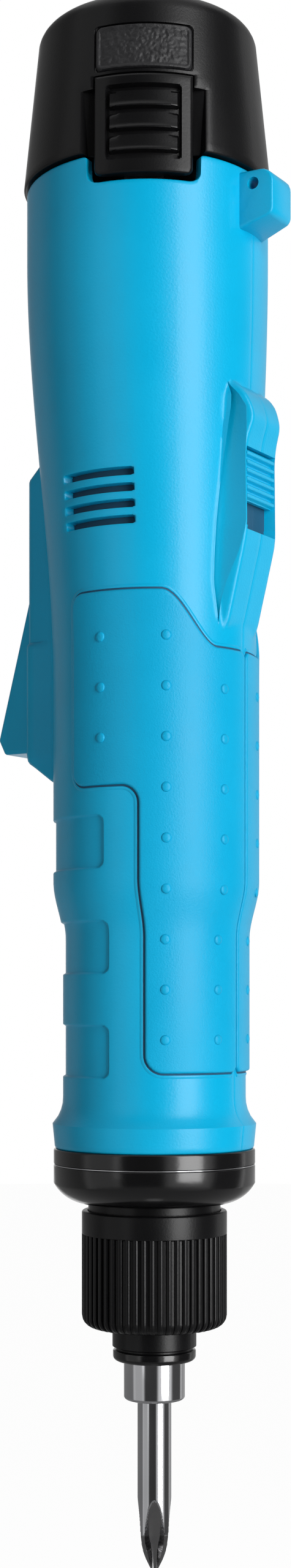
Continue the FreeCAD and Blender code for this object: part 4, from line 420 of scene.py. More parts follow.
# %% [markdown]
# ## The housing as a height field
#
# Each half is a sheet of points on a grid of angle and height. The body is a turned profile, the lever
# guard joins it with a fillet, and the switch boss stands on it with crisp sides. Rays from the axis find
# the joined surface.

# %% Profile of the body
CREASE_LEVEL, CREASE_RADIUS, FOOT_RADIUS = 83.2, 19.0, 18.55
FLARE_TOP, FLARE_ARC, SLIM_RADIUS = 88.2, 7.0, 17.05
SLIM_TOP, SWELL_TOP, GRIP_RADIUS = 117.5, 128.0, 18.85
TAPER_FOOT, TAPER_TOP, HEAD_RADIUS = 164.5, 243.5, 22.5
VENT_LEVEL = 196.0
flare_ends = np.array([(CREASE_RADIUS, CREASE_LEVEL), (SLIM_RADIUS, FLARE_TOP)])
flare_centre = arc_centre(*flare_ends, FLARE_ARC, -1.0)


def taper(level):
    return ease((level - TAPER_FOOT) / (TAPER_TOP - TAPER_FOOT))


def body_radius(level):
    foot = np.interp(level, [housing_foot, CREASE_LEVEL], [FOOT_RADIUS, CREASE_RADIUS])
    flare = flare_centre[0] - np.sqrt(np.maximum(FLARE_ARC ** 2 - (level - flare_centre[1]) ** 2, 0.0))
    upper = SLIM_RADIUS + (GRIP_RADIUS - SLIM_RADIUS) * ease((level - SLIM_TOP) / (SWELL_TOP - SLIM_TOP))
    upper = upper + (HEAD_RADIUS - GRIP_RADIUS) * taper(level)
    return np.where(level < CREASE_LEVEL, foot, np.where(level < FLARE_TOP, flare, upper))


def body_shift(level):
    return battery_axis * taper(level)


def arc_at(x, level):
    radius = body_radius(level)
    return radius * np.arccos(np.clip((x - body_shift(level)) / radius, -1.0, 1.0))


print("body radius at the vents", round(float(body_radius(np.array(VENT_LEVEL))), 2), "mm")

# %% Guard, boss and switch well as forms
GUARD_REACH = -low("housing_left")[0]
GUARD_HALF, GUARD_ROUND, GUARD_FILLET, GUARD_ROOT = 7.0, 1.6, 1.0, 10.0
GUARD_PATH = ([145.0, 147.2, 151.2, 204.8, 208.8, 210.6],
              [12.0, 18.85, GUARD_REACH, GUARD_REACH, 20.45, 14.0])
CHEEK_LEVELS, CHEEK_LIFT, CHEEK_ROOT, CHEEK_EDGE, CHEEK_RUNOUT = (150.0, 174.0), 0.8, 20.4, 0.8, 3.0
BOSS_PATH = ([168.0, 173.6, 189.8, 204.6, 207.4, 210.6, 214.4, 217.2, 219.5],
             [14.0, 18.85, 22.8, 22.6, 23.0, 24.2, 22.9, 20.8, 14.0])
BOSS_HALF, BOSS_DRAFT, BOSS_EDGE, BOSS_ROOT, BOSS_CREST = 5.6, 0.42, 0.5, 12.0, 22.7
BOSS_SPAN, BOSS_SAMPLES, BLUR_REACH, BLUR_SAMPLES = (165.0, 222.0), 571, 3.0, 30
WELL_HALF, WELL_FOOT, WELL_TOP, WELL_FLOOR = 5.1, 190.5, 205.3, 20.8
boss_levels = np.linspace(*BOSS_SPAN, BOSS_SAMPLES)
blur = np.exp(-0.5 * np.linspace(-BLUR_REACH, BLUR_REACH, 2 * BLUR_SAMPLES + 1) ** 2)
boss_line = np.pad(np.interp(boss_levels, *BOSS_PATH), BLUR_SAMPLES, mode="edge")
boss_reach = np.convolve(boss_line, blur / blur.sum(), "valid")


def guard_form(x, y, level):
    lift = CHEEK_LIFT * ease((CHEEK_LEVELS[1] - level) / CHEEK_EDGE)
    lift = lift * ease((level - CHEEK_LEVELS[0]) / CHEEK_RUNOUT) * ease((-x - CHEEK_ROOT) / CHEEK_EDGE)
    cheek = rounded_corner(-x - np.interp(level, *GUARD_PATH), np.abs(y) - GUARD_HALF - lift, GUARD_ROUND)
    return np.maximum(cheek, x + GUARD_ROOT)


def boss_form(x, y, level):
    reach = np.interp(level, boss_levels, boss_reach)
    half = BOSS_HALF + BOSS_DRAFT * (np.minimum(reach, BOSS_CREST) - x)
    crest = soft_max(x - reach, (np.abs(y) - half) / math.hypot(1.0, BOSS_DRAFT), BOSS_EDGE)
    return np.maximum(crest, BOSS_ROOT - x)


def body_form(x, y, level):
    return np.hypot(x - body_shift(level), y) - body_radius(level)


def housing_form(x, y, level):
    grip = soft_min(body_form(x, y, level), guard_form(x, y, level), GUARD_FILLET)
    ends = np.maximum(level - WELL_TOP, WELL_FOOT - level)
    well = np.maximum(np.maximum(np.abs(y) - WELL_HALF, WELL_FLOOR - x), ends)
    return np.maximum(np.minimum(grip, boss_form(x, y, level)), -well)


print("boss reaches", round(float(boss_reach.max()), 2), "mm from the axis")

# %% [markdown]
# ## Grid lines where the shape needs them
#
# A height field is only as sharp as its grid, so lines crowd together at edges and stay wide apart on plain
# skin. The rim dips in two U-notches, and the top rows of the grid simply follow it down. Vents and finger
# patches are rows, each given by its foot, pitch, height and count.

# %% Lines of angle and height
LATCH_HEADING, WALL, WARP_FOOT, NOTCH_BELOW = 60.0, 2.0, 240.0, 0.9
NOTCH_HALF, NOTCH_FOOT, NOTCH_ROUND = 10.15, latch_foot - NOTCH_BELOW, 2.0
SLOT_HALF, SLOT_FOOT, SLOT_TOP, SLOT_EDGE = 5.1, 152.0, 186.8, 0.3
VENT_ROWS, VENT_REACH, VENT_DEPTH = (190.85, 2.83, 1.5, 4), 7.3, 1.7
PATCH_ROWS, PATCH_EDGE, PATCH_DEPTH = (92.1, 18.9, 9.4, 3), 0.8, 0.5
NOTCH_LINES = (0.0, 3.0, 6.0, 8.15, 8.9, 9.45, 9.8, 10.02, 10.12, 10.15, 10.22, 10.3, 10.45, 10.7, 11.2)
ANGLE_RUNS = ((9.0, 13.0, 0.5), (13.5, 21.0, 0.75), (66.0, 70.0, 0.45), (84.5, 93.0, 0.5),
              (107.5, 111.0, 0.45), (150.0, 166.0, 0.8))
ANGLE_MARKS = (0.3, 0.7, 12.9, 13.0, 13.1, 20.4, 20.7, 20.9, 21.0, 21.3, 21.7, 22.2, 23.0, 24.5, 26.5, 28.0,
               172.5, 174.5, 176.5, 179.3, 179.7)
LEVEL_RUNS = ((146.0, 152.0, 0.5), (172.0, 176.0, 0.5), (203.5, 218.5, 0.5))
PATCH_LINES = (-1.4, -0.9, -0.5, -0.25, -0.1, 0.1, 0.25, 0.5, 0.9, 1.4)
VENT_LINES = (-0.35, -0.12, -0.03, 0.03, 0.12, 0.35)
WELL_LINES = (-0.02, 0.02)
EDGE_LINES = (0.15, 0.4)
ANGLE_STEP, LEVEL_STEP, SLOT_NEXT = 2.4, 1.2, 1.0


def row_edges(foot, pitch, height, count):
    return [foot + step * pitch + rise for step in range(count) for rise in (0.0, height)]


notch_angles = [math.degrees(math.asin(step / HEAD_RADIUS)) for step in NOTCH_LINES]
slot_angle = 180.0 - math.degrees(math.atan(SLOT_HALF / GUARD_REACH))
inner_slot_angle = 180.0 - math.degrees(math.asin(SLOT_HALF / (GRIP_RADIUS - WALL)))
angle_marks = [LATCH_HEADING + side * angle for angle in notch_angles for side in (-1, 1)]
angle_marks += [slot_angle, slot_angle + SLOT_NEXT, inner_slot_angle, *ANGLE_MARKS, *runs(ANGLE_RUNS)]
angles = lines(0.0, 180.0, ANGLE_STEP, angle_marks, gap=0.1)

level_marks = [CREASE_LEVEL, FLARE_TOP, WARP_FOOT, *runs(LEVEL_RUNS)]
level_marks += [SLOT_FOOT - SLOT_EDGE, SLOT_FOOT, SLOT_TOP, SLOT_TOP + SLOT_EDGE]
level_marks += beside([housing_foot], EDGE_LINES) + [housing_rim - edge for edge in EDGE_LINES]
level_marks += beside(row_edges(*PATCH_ROWS), PATCH_LINES) + beside(row_edges(*VENT_ROWS), VENT_LINES)
level_marks += beside([WELL_FOOT, WELL_TOP], WELL_LINES)
levels = lines(housing_foot, housing_rim, LEVEL_STEP, level_marks)
slot_rows = (np.abs(levels - SLOT_FOOT).argmin(), np.abs(levels - SLOT_TOP).argmin())
slot_column = np.abs(angles - slot_angle).argmin()
inner_column = np.abs(angles - inner_slot_angle).argmin()
print(len(angles), "angles and", len(levels), "levels per half")

# %% Rim, vents and finger patches
LIP_GAP, LIP_WIDTH, LIP_DROP = 0.05, 0.9, 0.55
VENT_CORNER, VENT_WALL, VENT_RIM, VENT_RIM_WIDTH = 0.7, 0.06, 0.12, 0.25
PATCH_CORNER, PATCH_WALL = 1.6, 0.4


def rim_level(angle):
    across = np.abs(HEAD_RADIUS * np.sin(np.radians(angle - LATCH_HEADING)))
    near = np.abs(angle - LATCH_HEADING) < 90.0
    corner = np.clip(across - (NOTCH_HALF - NOTCH_ROUND), 0.0, NOTCH_ROUND)
    floor = NOTCH_FOOT + NOTCH_ROUND - np.sqrt(NOTCH_ROUND ** 2 - corner ** 2)
    lip = np.clip((across - NOTCH_HALF - LIP_GAP) / LIP_WIDTH, 0.0, 1.0)
    shoulder = housing_rim - LIP_DROP * (1.0 - np.sqrt(1.0 - (1.0 - lip) ** 2))
    return np.where(near & (across <= NOTCH_HALF + 1e-6), floor, shoulder)


def row_gaps(side, level, rows, corner):
    foot, pitch, height, count = rows
    ends = [np.abs(level - (foot + step * pitch + height / 2.0)) - height / 2.0 for step in range(count)]
    return np.array([rounded_corner(side, end, corner) for end in ends])


def vent_depth(arc, level):
    side = np.maximum(arc_at(VENT_REACH, level) - arc, arc - arc_at(-VENT_REACH, level))
    gaps = row_gaps(side, level, VENT_ROWS, VENT_CORNER)
    return (VENT_DEPTH * sunk(gaps, VENT_WALL) + VENT_RIM * bell(gaps, VENT_RIM_WIDTH)).max(axis=0)


def patch_depth(arc, level):
    gaps = row_gaps(arc_at(PATCH_EDGE, level) - arc, level, PATCH_ROWS, PATCH_CORNER)
    return PATCH_DEPTH * sunk(gaps, PATCH_WALL).max(axis=0)


print("rim falls to", round(float(rim_level(np.array(LATCH_HEADING))), 1), "mm in the notches")

# %% Leaf scoops beside the boss
LEAF_LEVELS = [173.7, 181.0, 186.0, 192.0, 205.7, 212.4, 217.0]
LEAF_INNER = [20.9, 18.3, 15.4, 13.3, 13.2, 13.2, 17.2]
LEAF_OUTER = [20.9, 24.5, 24.2, 23.3, 19.4, 17.6, 17.2]
LEAF_LINES, LEAF_HALF, LEAF_FADES, LEAF_RIM = (8.0, 13.0, 21.0, 30.0), 0.5, (2.0, 1.0), 0.001
LEAF_DEPTH, LEAF_BEND, LEAF_LIP, LEAF_GROOVE = 0.6, 2.4, 0.16, 0.6
LIP_REACH, GROOVE_REACH = 0.3, 0.45


def leaf_edges(level):
    inner = np.interp(level, LEAF_LEVELS, LEAF_INNER)
    outer = np.interp(level, LEAF_LEVELS, LEAF_OUTER)
    middle = (inner + outer) / 2.0
    return np.minimum(inner, middle - LEAF_HALF), np.maximum(outer, middle + LEAF_HALF)


def follow_leaf(angle, level):
    inner, outer = leaf_edges(level)
    first, second, third, last = LEAF_LINES
    moved = np.where(angle < second, first + (angle - first) * (inner - first) / (second - first),
                     np.where(angle < third, inner + (angle - second) * (outer - inner) / (third - second),
                              outer + (angle - third) * (last - outer) / (last - third)))
    return np.where((angle > first) & (angle < last), moved, angle)


def scooped(reach, angle, level, radius):
    inner, outer = leaf_edges(level)
    share = (angle - inner) / (outer - inner)
    fade = ease((level - LEAF_LEVELS[0]) / LEAF_FADES[0]) * ease((LEAF_LEVELS[-1] - level) / LEAF_FADES[1])
    column = np.abs(angles - LEAF_LINES[1]).argmin()
    ridge = reach[:, column:column + 1]
    rise = (1.0 - np.clip(share, 0.0, 1.0)) ** LEAF_BEND
    away = (outer - angle) * radius * math.pi / 180.0
    floor = radius - LEAF_DEPTH + (ridge - radius + LEAF_DEPTH) * rise
    floor = floor - LEAF_GROOVE * bell(away, GROOVE_REACH)
    inside = (share > LEAF_RIM) & (share < 1.0 - LEAF_RIM)
    lip = LEAF_LIP * bell(away, LIP_REACH) * (share >= 1.0 - LEAF_RIM)
    return np.where(inside, np.minimum(reach, reach + (floor - reach) * fade), reach + lip * fade)


print("leaf scoops run from", LEAF_LEVELS[0], "to", LEAF_LEVELS[-1], "mm")

# %% Points of one half
RAY_FAR, RAY_NEAR, LINING_STEP = 28.0, 12.0, 14
SEAM_DEPTH, SEAM_WIDTH, EDGE_WIDTH, EDGE_FALL = 0.05, 0.15, 0.4, 0.3
WELL_SLACK, LEAF_LINE, LEAF_LINE_SLACK, LEAF_LINE_END = 0.1, 0.8, 0.05, 1.5


def warped(angle, level):
    share = np.clip((level - WARP_FOOT) / (housing_rim - WARP_FOOT), 0.0, 1.0)
    return np.where(share > 0.0, WARP_FOOT + share * (rim_level(angle) - WARP_FOOT), level)


def housing_sheet():
    angle, level = np.meshgrid(angles, levels)
    angle = follow_leaf(angle, level)
    level = warped(angle, level)
    turn = np.radians(angle)
    shift, radius = body_shift(level), body_radius(level)
    rays = polar(1.0, -turn, 0.0).reshape(-1, 3)
    starts = polar(0.0, turn, level, shift).reshape(-1, 3)
    reach = settle(housing_form, starts, rays, RAY_FAR, RAY_NEAR).reshape(level.shape)
    arc = radius * turn
    vent = vent_depth(arc, level)
    reach = scooped(reach - vent - patch_depth(arc, level), angle, level, radius)
    seam = np.minimum(arc, radius * (math.pi - turn))
    edge = np.minimum(level - housing_foot, rim_level(angle) - level)
    reach = reach - SEAM_DEPTH * bell(seam, SEAM_WIDTH) - rolled(edge, EDGE_WIDTH, EDGE_FALL)
    points = polar(reach, -turn, level, shift)
    points[:, [0, -1], 1] = 0.0
    points[slot_rows[0]:slot_rows[1] + 1, slot_column, :2] = -GUARD_REACH, -SLOT_HALF
    return points, vent


def lining_sheet(rows):
    angle, level = np.meshgrid(angles, levels[rows])
    level = warped(angle, level)
    points = polar(body_radius(level) - WALL, -np.radians(angle), level, body_shift(level))
    points[:, [0, -1], 1] = 0.0
    return points


# Marks the faces that get painted shade: the switch well floor and a thin line along each leaf scoop's outer
# border.
def painted_shade_points(points):
    x, y, level = np.moveaxis(points, -1, 0)
    well = (np.abs(y) < WELL_HALF) & (x > 0.0) & (x < WELL_FLOOR + WELL_SLACK)
    well &= (level > WELL_FOOT) & (level < WELL_TOP)
    columns = (angles > LEAF_LINES[2] - LEAF_LINE) & (angles < LEAF_LINES[2] + LEAF_LINE_SLACK)
    rows = (levels > LEAF_LEVELS[0] + LEAF_LINE_END) & (levels < LEAF_LEVELS[-1] - LEAF_LINE_END)
    return well | (rows[:, None] & columns[None, :])


skin_sheet, vent_mask = housing_sheet()
painted_shade_mask = painted_shade_points(skin_sheet)
lining_rows = np.unique([*range(0, len(levels), LINING_STEP), *slot_rows, len(levels) - 1])
lining = lining_sheet(lining_rows)
print("outer sheet", skin_sheet.shape[:2], "inner sheet", lining.shape[:2])

# %% [markdown]
# ## Closing the shell
#
# The outer and inner sheets become one closed shell: strips close the rim, the foot and both seam faces,
# and the lever slot gets straight walls. A closed shell has a clear inside, so light and normals behave.

# %% Stitch both halves
# Vent floors deeper than this depth wear the vent's painted shade.
VENT_SHADE_DEPTH, SHELL_FINISHES = 0.8, ["blue_plastic", "vent_hollow", "groove_shadow"]


def shell_faces():
    rows, columns = skin_sheet.shape[:2]
    skin = np.arange(rows * columns).reshape(rows, columns)
    back = skin.size + np.arange(lining.shape[0] * columns).reshape(-1, columns)
    back_slot = np.searchsorted(lining_rows, slot_rows)
    faces, finish_index = [], []
    for face in grid_faces(rows, columns):
        row, column = divmod(int(face[0]), columns)
        if slot_rows[0] <= row < slot_rows[1] and column >= slot_column:
            continue
        cell = (slice(row, row + 2), slice(column, column + 2))
        # Faces deep in a vent get the vent's painted shade; well floor and leaf-line faces get the groove's
        # painted shade.
        deep_vent_shade = vent_mask[cell].min() > VENT_SHADE_DEPTH
        faces.append(face)
        finish_index.append(1 if deep_vent_shade else 2 if painted_shade_mask[cell].all() else 0)
    for face in grid_faces(len(back), columns):
        row, column = divmod(int(face[0]), columns)
        if not (back_slot[0] <= row < back_slot[1] and column >= inner_column):
            faces.append(face + skin.size)
    for column in range(columns - 1):
        for edge in (0, -1):
            faces.append([*skin[edge, column:column + 2], *back[edge, column:column + 2][::-1]])
    for step in range(len(back) - 1):
        stretch = slice(lining_rows[step], lining_rows[step + 1] + 1)
        in_slot = back_slot[0] <= step < back_slot[1]
        for column, back_column in ((0, 0), (slot_column, inner_column) if in_slot else (-1, -1)):
            faces.append([*skin[stretch, column], *back[step:step + 2, back_column][::-1]])
    for row, back_row in zip(slot_rows, back_slot):
        faces.append([*skin[row, slot_column:], *back[back_row, inner_column:][::-1]])
    return faces, finish_index + [0] * (len(faces) - len(finish_index))


half_faces, half_finish = shell_faces()
half_points = np.concatenate([skin_sheet.reshape(-1, 3), lining.reshape(-1, 3)])
for name, side in SIDES:
    add_piece("housing_" + name + "_shell", half_points * [1.0, side, 1.0], half_faces, "tool",
              "blue_plastic", ["housing_" + name], crease=40.0, finishes=SHELL_FINISHES,
              face_finish=half_finish)
print("each housing half has", len(half_faces), "faces")

# %% [markdown]
# ## Soft grip panels
#
# A panel is a region of the skin with a curved outline. We measure every grid point's distance to that
# outline, keep the cells inside, cut the cells on the border, and roll the rim down in a few rings that
# follow the curve exactly.

# %% Outline of a panel
PANEL_TOP, PANEL_STEP, PANEL_FOOT, PANEL_DROP, PANEL_LAP = 179.2, 144.6, 93.0, 169.4, 4.0
PANEL_FRONT, PANEL_BACK, DROP_START, DROP_END = -5.8, 7.5, 11.0, 17.5
PANEL_PROUD, PANEL_ROUND, PANEL_BEND, PANEL_SEAM = 0.7, 2.5, 3.3, 0.12
PANEL_INSIDE = (1.0, 150.0)


def panel_distance(turn, level):
    arc = body_radius(level) * turn
    upper_ends = past_ends(level, PANEL_STEP, PANEL_TOP)
    upper = rounded_corner(arc - arc_at(PANEL_FRONT, level), upper_ends, PANEL_ROUND)
    lower_ends = np.maximum(PANEL_FOOT - level, level - PANEL_DROP + PANEL_LAP)
    lower = rounded_corner(arc - arc_at(PANEL_BACK, level), lower_ends, PANEL_BEND)
    bend = np.hypot(np.maximum(PANEL_BEND - upper, 0.0), np.maximum(PANEL_BEND - lower, 0.0))
    both = np.maximum(PANEL_BEND, np.minimum(upper, lower)) - bend
    fall, drop_start = PANEL_TOP - PANEL_DROP, arc_at(DROP_START, level)
    width = drop_start - arc_at(DROP_END, level)
    share = np.clip((drop_start - arc) / width, 0.0, 1.0)
    slope = fall / width * 6.0 * share * (1.0 - share)
    crest = PANEL_TOP - fall * ease(share)
    both = np.maximum(both, (level - crest) / np.hypot(1.0, slope))
    return np.maximum(both, PANEL_SEAM - arc)


print("panel reaches", round(float(-panel_distance(*np.array(PANEL_INSIDE))), 1), "mm inside its outline")

# %% Clip a grid to the outline
PANEL_INSET, PANEL_TURN, PANEL_TURN_STEP, PANEL_RISE = 0.5, 116.0, 1.5, 0.63
PANEL_MARGINS = (-0.9, 1.5)


def clipped_region(turn_lines, level_lines, distance, inset):
    value = distance(*np.meshgrid(turn_lines, level_lines)) + inset
    value = np.where(np.abs(value) < 1e-6, 1e-6, value)
    spots, index, faces, border = [], {}, [], {}

    def spot(key, turn, level):
        if key not in index:
            index[key] = len(spots)
            spots.append((turn, level))
        return index[key]

    def crossing(first, second):
        first, second = sorted((first, second))
        share = value[first] / (value[first] - value[second])
        turns, heights = turn_lines[[first[1], second[1]]], level_lines[[first[0], second[0]]]
        return spot((first, second), *(ends[0] + share * (ends[1] - ends[0]) for ends in (turns, heights)))

    for row in range(len(level_lines) - 1):
        for column in range(len(turn_lines) - 1):
            cell = [(row, column), (row, column + 1), (row + 1, column + 1), (row + 1, column)]
            within = [value[corner] < 0.0 for corner in cell]
            if not any(within):
                continue
            face, leaving, entering = [], None, None
            for step in range(4):
                here, after = cell[step], cell[(step + 1) % 4]
                if within[step]:
                    face.append(spot(here, turn_lines[here[1]], level_lines[here[0]]))
                if within[step] != within[(step + 1) % 4]:
                    cut = crossing(here, after)
                    face.append(cut)
                    leaving, entering = (cut, entering) if within[step] else (leaving, cut)
            if leaving is not None:
                border[leaving] = entering
            faces.append(face)
    loop = [next(iter(border))]
    while border[loop[-1]] != loop[0]:
        loop.append(border[loop[-1]])
    return np.array(spots), faces, np.array(loop)


panel_turns = np.radians(np.arange(0.0, PANEL_TURN, PANEL_TURN_STEP))
panel_levels = np.arange(PANEL_FOOT + PANEL_MARGINS[0], PANEL_TOP + PANEL_MARGINS[1], PANEL_RISE)
panel_spots, panel_faces, panel_loop = clipped_region(panel_turns, panel_levels, panel_distance, PANEL_INSET)
print("panel face has", len(panel_faces), "cells and a border of", len(panel_loop), "points")

# %% Panels, their grooves and lips
PANEL_ROLL = ((0.2, 0.67), (0.36, 0.56), (0.46, 0.38), (0.5, 0.12), (0.5, -0.4))
PANEL_SUNK, NUDGE, SEAM_TURN = -0.4, 0.02, 0.002
GROOVE_RIBBON = ((-0.1, -0.3), (-0.1, 0.02), (0.4, 0.02), (0.4, -0.3))
LIP_RIBBON = ((0.35, -0.3), (0.35, 0.1), (0.48, 0.16), (0.7, 0.12), (0.95, 0.0), (0.95, -0.3))


def skin_point(turn, level, lift):
    return polar(body_radius(level) + lift, -turn, level, body_shift(level))


def outward_steps(spots):
    turn, level = spots.T
    radius = body_radius(level)
    aside = NUDGE / radius
    along = (panel_distance(turn + aside, level) - panel_distance(turn - aside, level)) / (2 * NUDGE)
    up = (panel_distance(turn, level + NUDGE) - panel_distance(turn, level - NUDGE)) / (2 * NUDGE)
    length = np.maximum(np.hypot(along, up), 1e-6)
    return np.stack([along / length / radius, up / length], axis=-1)


def ring(offset, lift):
    border = panel_spots[panel_loop]
    turn, level = (border + outward_steps(border) * offset).T
    return skin_point(np.maximum(turn, SEAM_TURN), level, lift)


def loop_strips(loops):
    strips = []
    for first, second in zip(loops, loops[1:]):
        strips += np.stack([first, np.roll(first, -1), np.roll(second, -1), second], axis=1).tolist()
    return strips


def make_panel():
    parts = [skin_point(*panel_spots.T, lift) for lift in (PANEL_PROUD, PANEL_SUNK)]
    parts += [ring(offset, lift) for offset, lift in PANEL_ROLL]
    back, *starts = np.cumsum([len(part) for part in parts])[:-1]
    loops = [panel_loop] + [start + np.arange(len(panel_loop)) for start in starts] + [back + panel_loop]
    faces = panel_faces + [[back + corner for corner in face[::-1]] for face in panel_faces]
    return np.concatenate(parts), faces + loop_strips(loops)


def make_ribbon(profile):
    rings = [ring(offset + PANEL_INSET, lift) for offset, lift in profile]
    loops = list(np.arange(len(rings) * len(panel_loop)).reshape(len(rings), -1))
    return np.concatenate(rings), loop_strips(loops + loops[:1])


panel_mesh, groove_mesh, lip_mesh = make_panel(), make_ribbon(GROOVE_RIBBON), make_ribbon(LIP_RIBBON)
for name, side in SIDES:
    mirror = [1.0, side, 1.0]
    add_piece("grip_panel_" + name, panel_mesh[0] * mirror, panel_mesh[1], "tool", "soft_grip",
              ["grip_" + name], crease=45.0)
    add_piece("grip_groove_" + name, groove_mesh[0] * mirror, groove_mesh[1], "tool", "soft_grip",
              finishes=["groove_shadow"])
    add_piece("grip_lip_" + name, lip_mesh[0] * mirror, lip_mesh[1], "tool", "blue_plastic", crease=60.0)
print("two panels with", len(panel_mesh[1]), "faces each")

# %% [markdown]
# ## Repeating shapes with Geometry Nodes
#
# The raised dots of the panels and the ribs of the torque collar are one small mesh repeated many times. A
# node tree takes points with a `lean` direction, sets the stamp on each point, and realises the copies.
# Afterwards the result is baked to a plain mesh, so each body carries one ordinary piece.

# %% A tree that stamps points
STAMP_INPUTS = {"Geometry": "Geometry", "Stamp": "Object", "Size": "Float", "Finish": "Material"}


def stamp_tree():
    tree = bpy.data.node_groups.new("stamps_on_points", "GeometryNodeTree")
    for title, kind in STAMP_INPUTS.items():
        tree.interface.new_socket(title, in_out="INPUT", socket_type="NodeSocket" + kind)
    tree.interface.new_socket("Geometry", in_out="OUTPUT", socket_type="NodeSocketGeometry")
    enter, leave = new_nodes(tree, "NodeGroup", "Input", "Output")
    stamp, lean, place, realise, paint = new_nodes(tree, "GeometryNode", "ObjectInfo", "InputNamedAttribute",
                                                   "InstanceOnPoints", "RealizeInstances", "SetMaterial")
    outward_turn, upright_turn = new_nodes(tree, "FunctionNodeAlign", "RotationToVector", "RotationToVector")
    lean.data_type = "FLOAT_VECTOR"
    outward_turn.axis = "Z"
    upright_turn.axis, upright_turn.pivot_axis = "Y", "Z"
    fill(lean, {"Name": "lean"})
    fill(upright_turn, {"Vector": (0.0, 0.0, 1.0)})
    wire(tree, (enter, "Geometry", place, "Points"), (enter, "Stamp", stamp, "Object"),
         (stamp, "Geometry", place, "Instance"), (lean, "Attribute", outward_turn, "Vector"),
         (outward_turn, "Rotation", upright_turn, "Rotation"), (upright_turn, "Rotation", place, "Rotation"),
         (enter, "Size", place, "Scale"), (place, "Instances", realise, "Geometry"),
         (realise, "Geometry", paint, "Geometry"), (enter, "Finish", paint, "Material"),
         (paint, "Geometry", leave, "Geometry"))
    return tree


STAMPS = stamp_tree()


def stamped(name, points, lean, stamp_points, stamp_faces, body, slot, size=1.0, crease=40.0):
    stamp_mesh = new_mesh(name + "_stamp", stamp_points, stamp_faces)
    face_outward(stamp_mesh)
    base_mesh = new_mesh(name + "_points", points)
    base_mesh.attributes.new("lean", "FLOAT_VECTOR", "POINT").data.foreach_set("vector", np.ravel(lean))
    stamp, base = add_object(stamp_mesh.name, stamp_mesh), add_object(base_mesh.name, base_mesh)
    modifier = base.modifiers.new("stamps", "NODES")
    modifier.node_group = STAMPS
    sockets = {item.name: item.identifier for item in STAMPS.interface.items_tree if item.in_out == "INPUT"}
    for title, value in (("Stamp", stamp), ("Size", size), ("Finish", FINISH[slot])):
        modifier[sockets[title]] = value
    mesh = taken_over(base, (base, stamp))
    mesh.name = name
    return place_mesh(name, mesh, body, (), crease)


print("stamp tree has", len(STAMPS.nodes), "nodes")

# %% Dots on the panels
DOT_RADIUS, DOT_RISE, DOT_PITCH, DOT_TOP, DOT_SIDES, DOT_SUNK = 0.95, 0.34, 9.0, 171.0, 20, 0.02
DOT_COLUMNS = ((18.0, 1, 9), (52.0, 0, 9), (88.0, 0, 3))
DOT_RINGS = ((0.98, -0.15), (0.98, 0.02), (0.9, 0.4), (0.7, 0.75), (0.4, 0.95))


def dot_stamp():
    rings = [polar(DOT_RADIUS * share, full_turn(DOT_SIDES), DOT_RISE * rise) for share, rise in DOT_RINGS]
    points = np.concatenate(rings + [np.array([[0.0, 0.0, DOT_RISE]])])
    crown = np.arange(DOT_SIDES) + DOT_SIDES * (len(rings) - 1)
    faces = grid_faces(len(rings), DOT_SIDES, wrap=True).tolist()
    faces += [[here, after, len(points) - 1] for here, after in zip(crown, np.roll(crown, -1))]
    return points, faces + [list(range(DOT_SIDES))[::-1]]


dot_spots = [(math.radians(angle), DOT_TOP - DOT_PITCH * row)
             for angle, first, last in DOT_COLUMNS for row in range(first, last)]
dot_turn, dot_level = np.array(dot_spots).T
for name, side in SIDES:
    dot_points = skin_point(dot_turn, dot_level, PANEL_PROUD - DOT_SUNK) * [1.0, side, 1.0]
    dot_lean = polar(1.0, -side * dot_turn, 0.0)
    stamped("grip_dots_" + name, dot_points, dot_lean, *dot_stamp(), "tool", "soft_grip")
print(len(dot_spots), "dots on each panel")

# %% Ribs round the collar
RIB_COUNT, RIB_DEPTH, RIB_ROUND, RIB_LAP, RIB_ROOT, BAND_HEIGHT = 54, 0.55, 2.3, 0.3, 0.5, 4.6
RIB_LEVELS = np.array([0.05, 0.25, 0.55, 0.95, 1.5, 2.3])
RIB_SIDES = (-0.52, -0.44, -0.26, 0.0, 0.26, 0.44, 0.52)
RIB_FALLS = (RIB_DEPTH + RIB_ROOT, 0.22, 0.05, 0.0, 0.05, 0.22, RIB_DEPTH + RIB_ROOT)
COLLAR_BORE, COLLAR_CHAMBER, COLLAR_LAND, CORE_GAP, BAND_CHAMFER = 7.95, 12.5, 7.0, 0.02, 0.2
COLLAR_ROUNDS = [0.2, 2.0, 0.05, 0.15, 0.4, 0.1, 0.1, 0.1]
rib_top, land_level = collar_top - BAND_HEIGHT + RIB_LAP, collar_foot + COLLAR_LAND
core_radius, core_foot = collar_radius - RIB_DEPTH, collar_foot + CORE_GAP


def rib_stamp():
    rib_levels = np.concatenate([collar_foot + RIB_LEVELS, [rib_top - RIB_LAP, rib_top]])
    dip = np.clip(collar_foot + RIB_ROUND - rib_levels, 0.0, RIB_ROUND)
    crest = collar_radius - RIB_ROUND + np.sqrt(RIB_ROUND ** 2 - dip ** 2)
    points = [(side, level, top - fall) for level, top in zip(rib_levels, crest)
              for side, fall in zip(RIB_SIDES, RIB_FALLS)]
    index = np.arange(len(points)).reshape(len(rib_levels), -1)
    faces = grid_faces(*index.shape).tolist()
    faces += np.stack([index[:-1, 0], index[1:, 0], index[1:, -1], index[:-1, -1]], axis=1).tolist()
    return np.array(points), faces + [index[0], index[-1][::-1]]


rib_lean = polar(1.0, full_turn(RIB_COUNT), 0.0)
stamped("collar_ribs", np.zeros((RIB_COUNT, 3)), rib_lean, *rib_stamp(), "collar", "black_plastic")
collar_core = round_corners(
    [(COLLAR_BORE, core_foot), (core_radius, core_foot), (core_radius, rib_top - BAND_CHAMFER),
     (collar_radius, rib_top), (collar_radius, collar_top), (COLLAR_CHAMBER, collar_top),
     (COLLAR_CHAMBER, land_level), (COLLAR_BORE, land_level)], COLLAR_ROUNDS)
lathe("collar_core", collar_core, "collar", "black_plastic", ["torque_collar"])
print(RIB_COUNT, "ribs stand on the collar core")

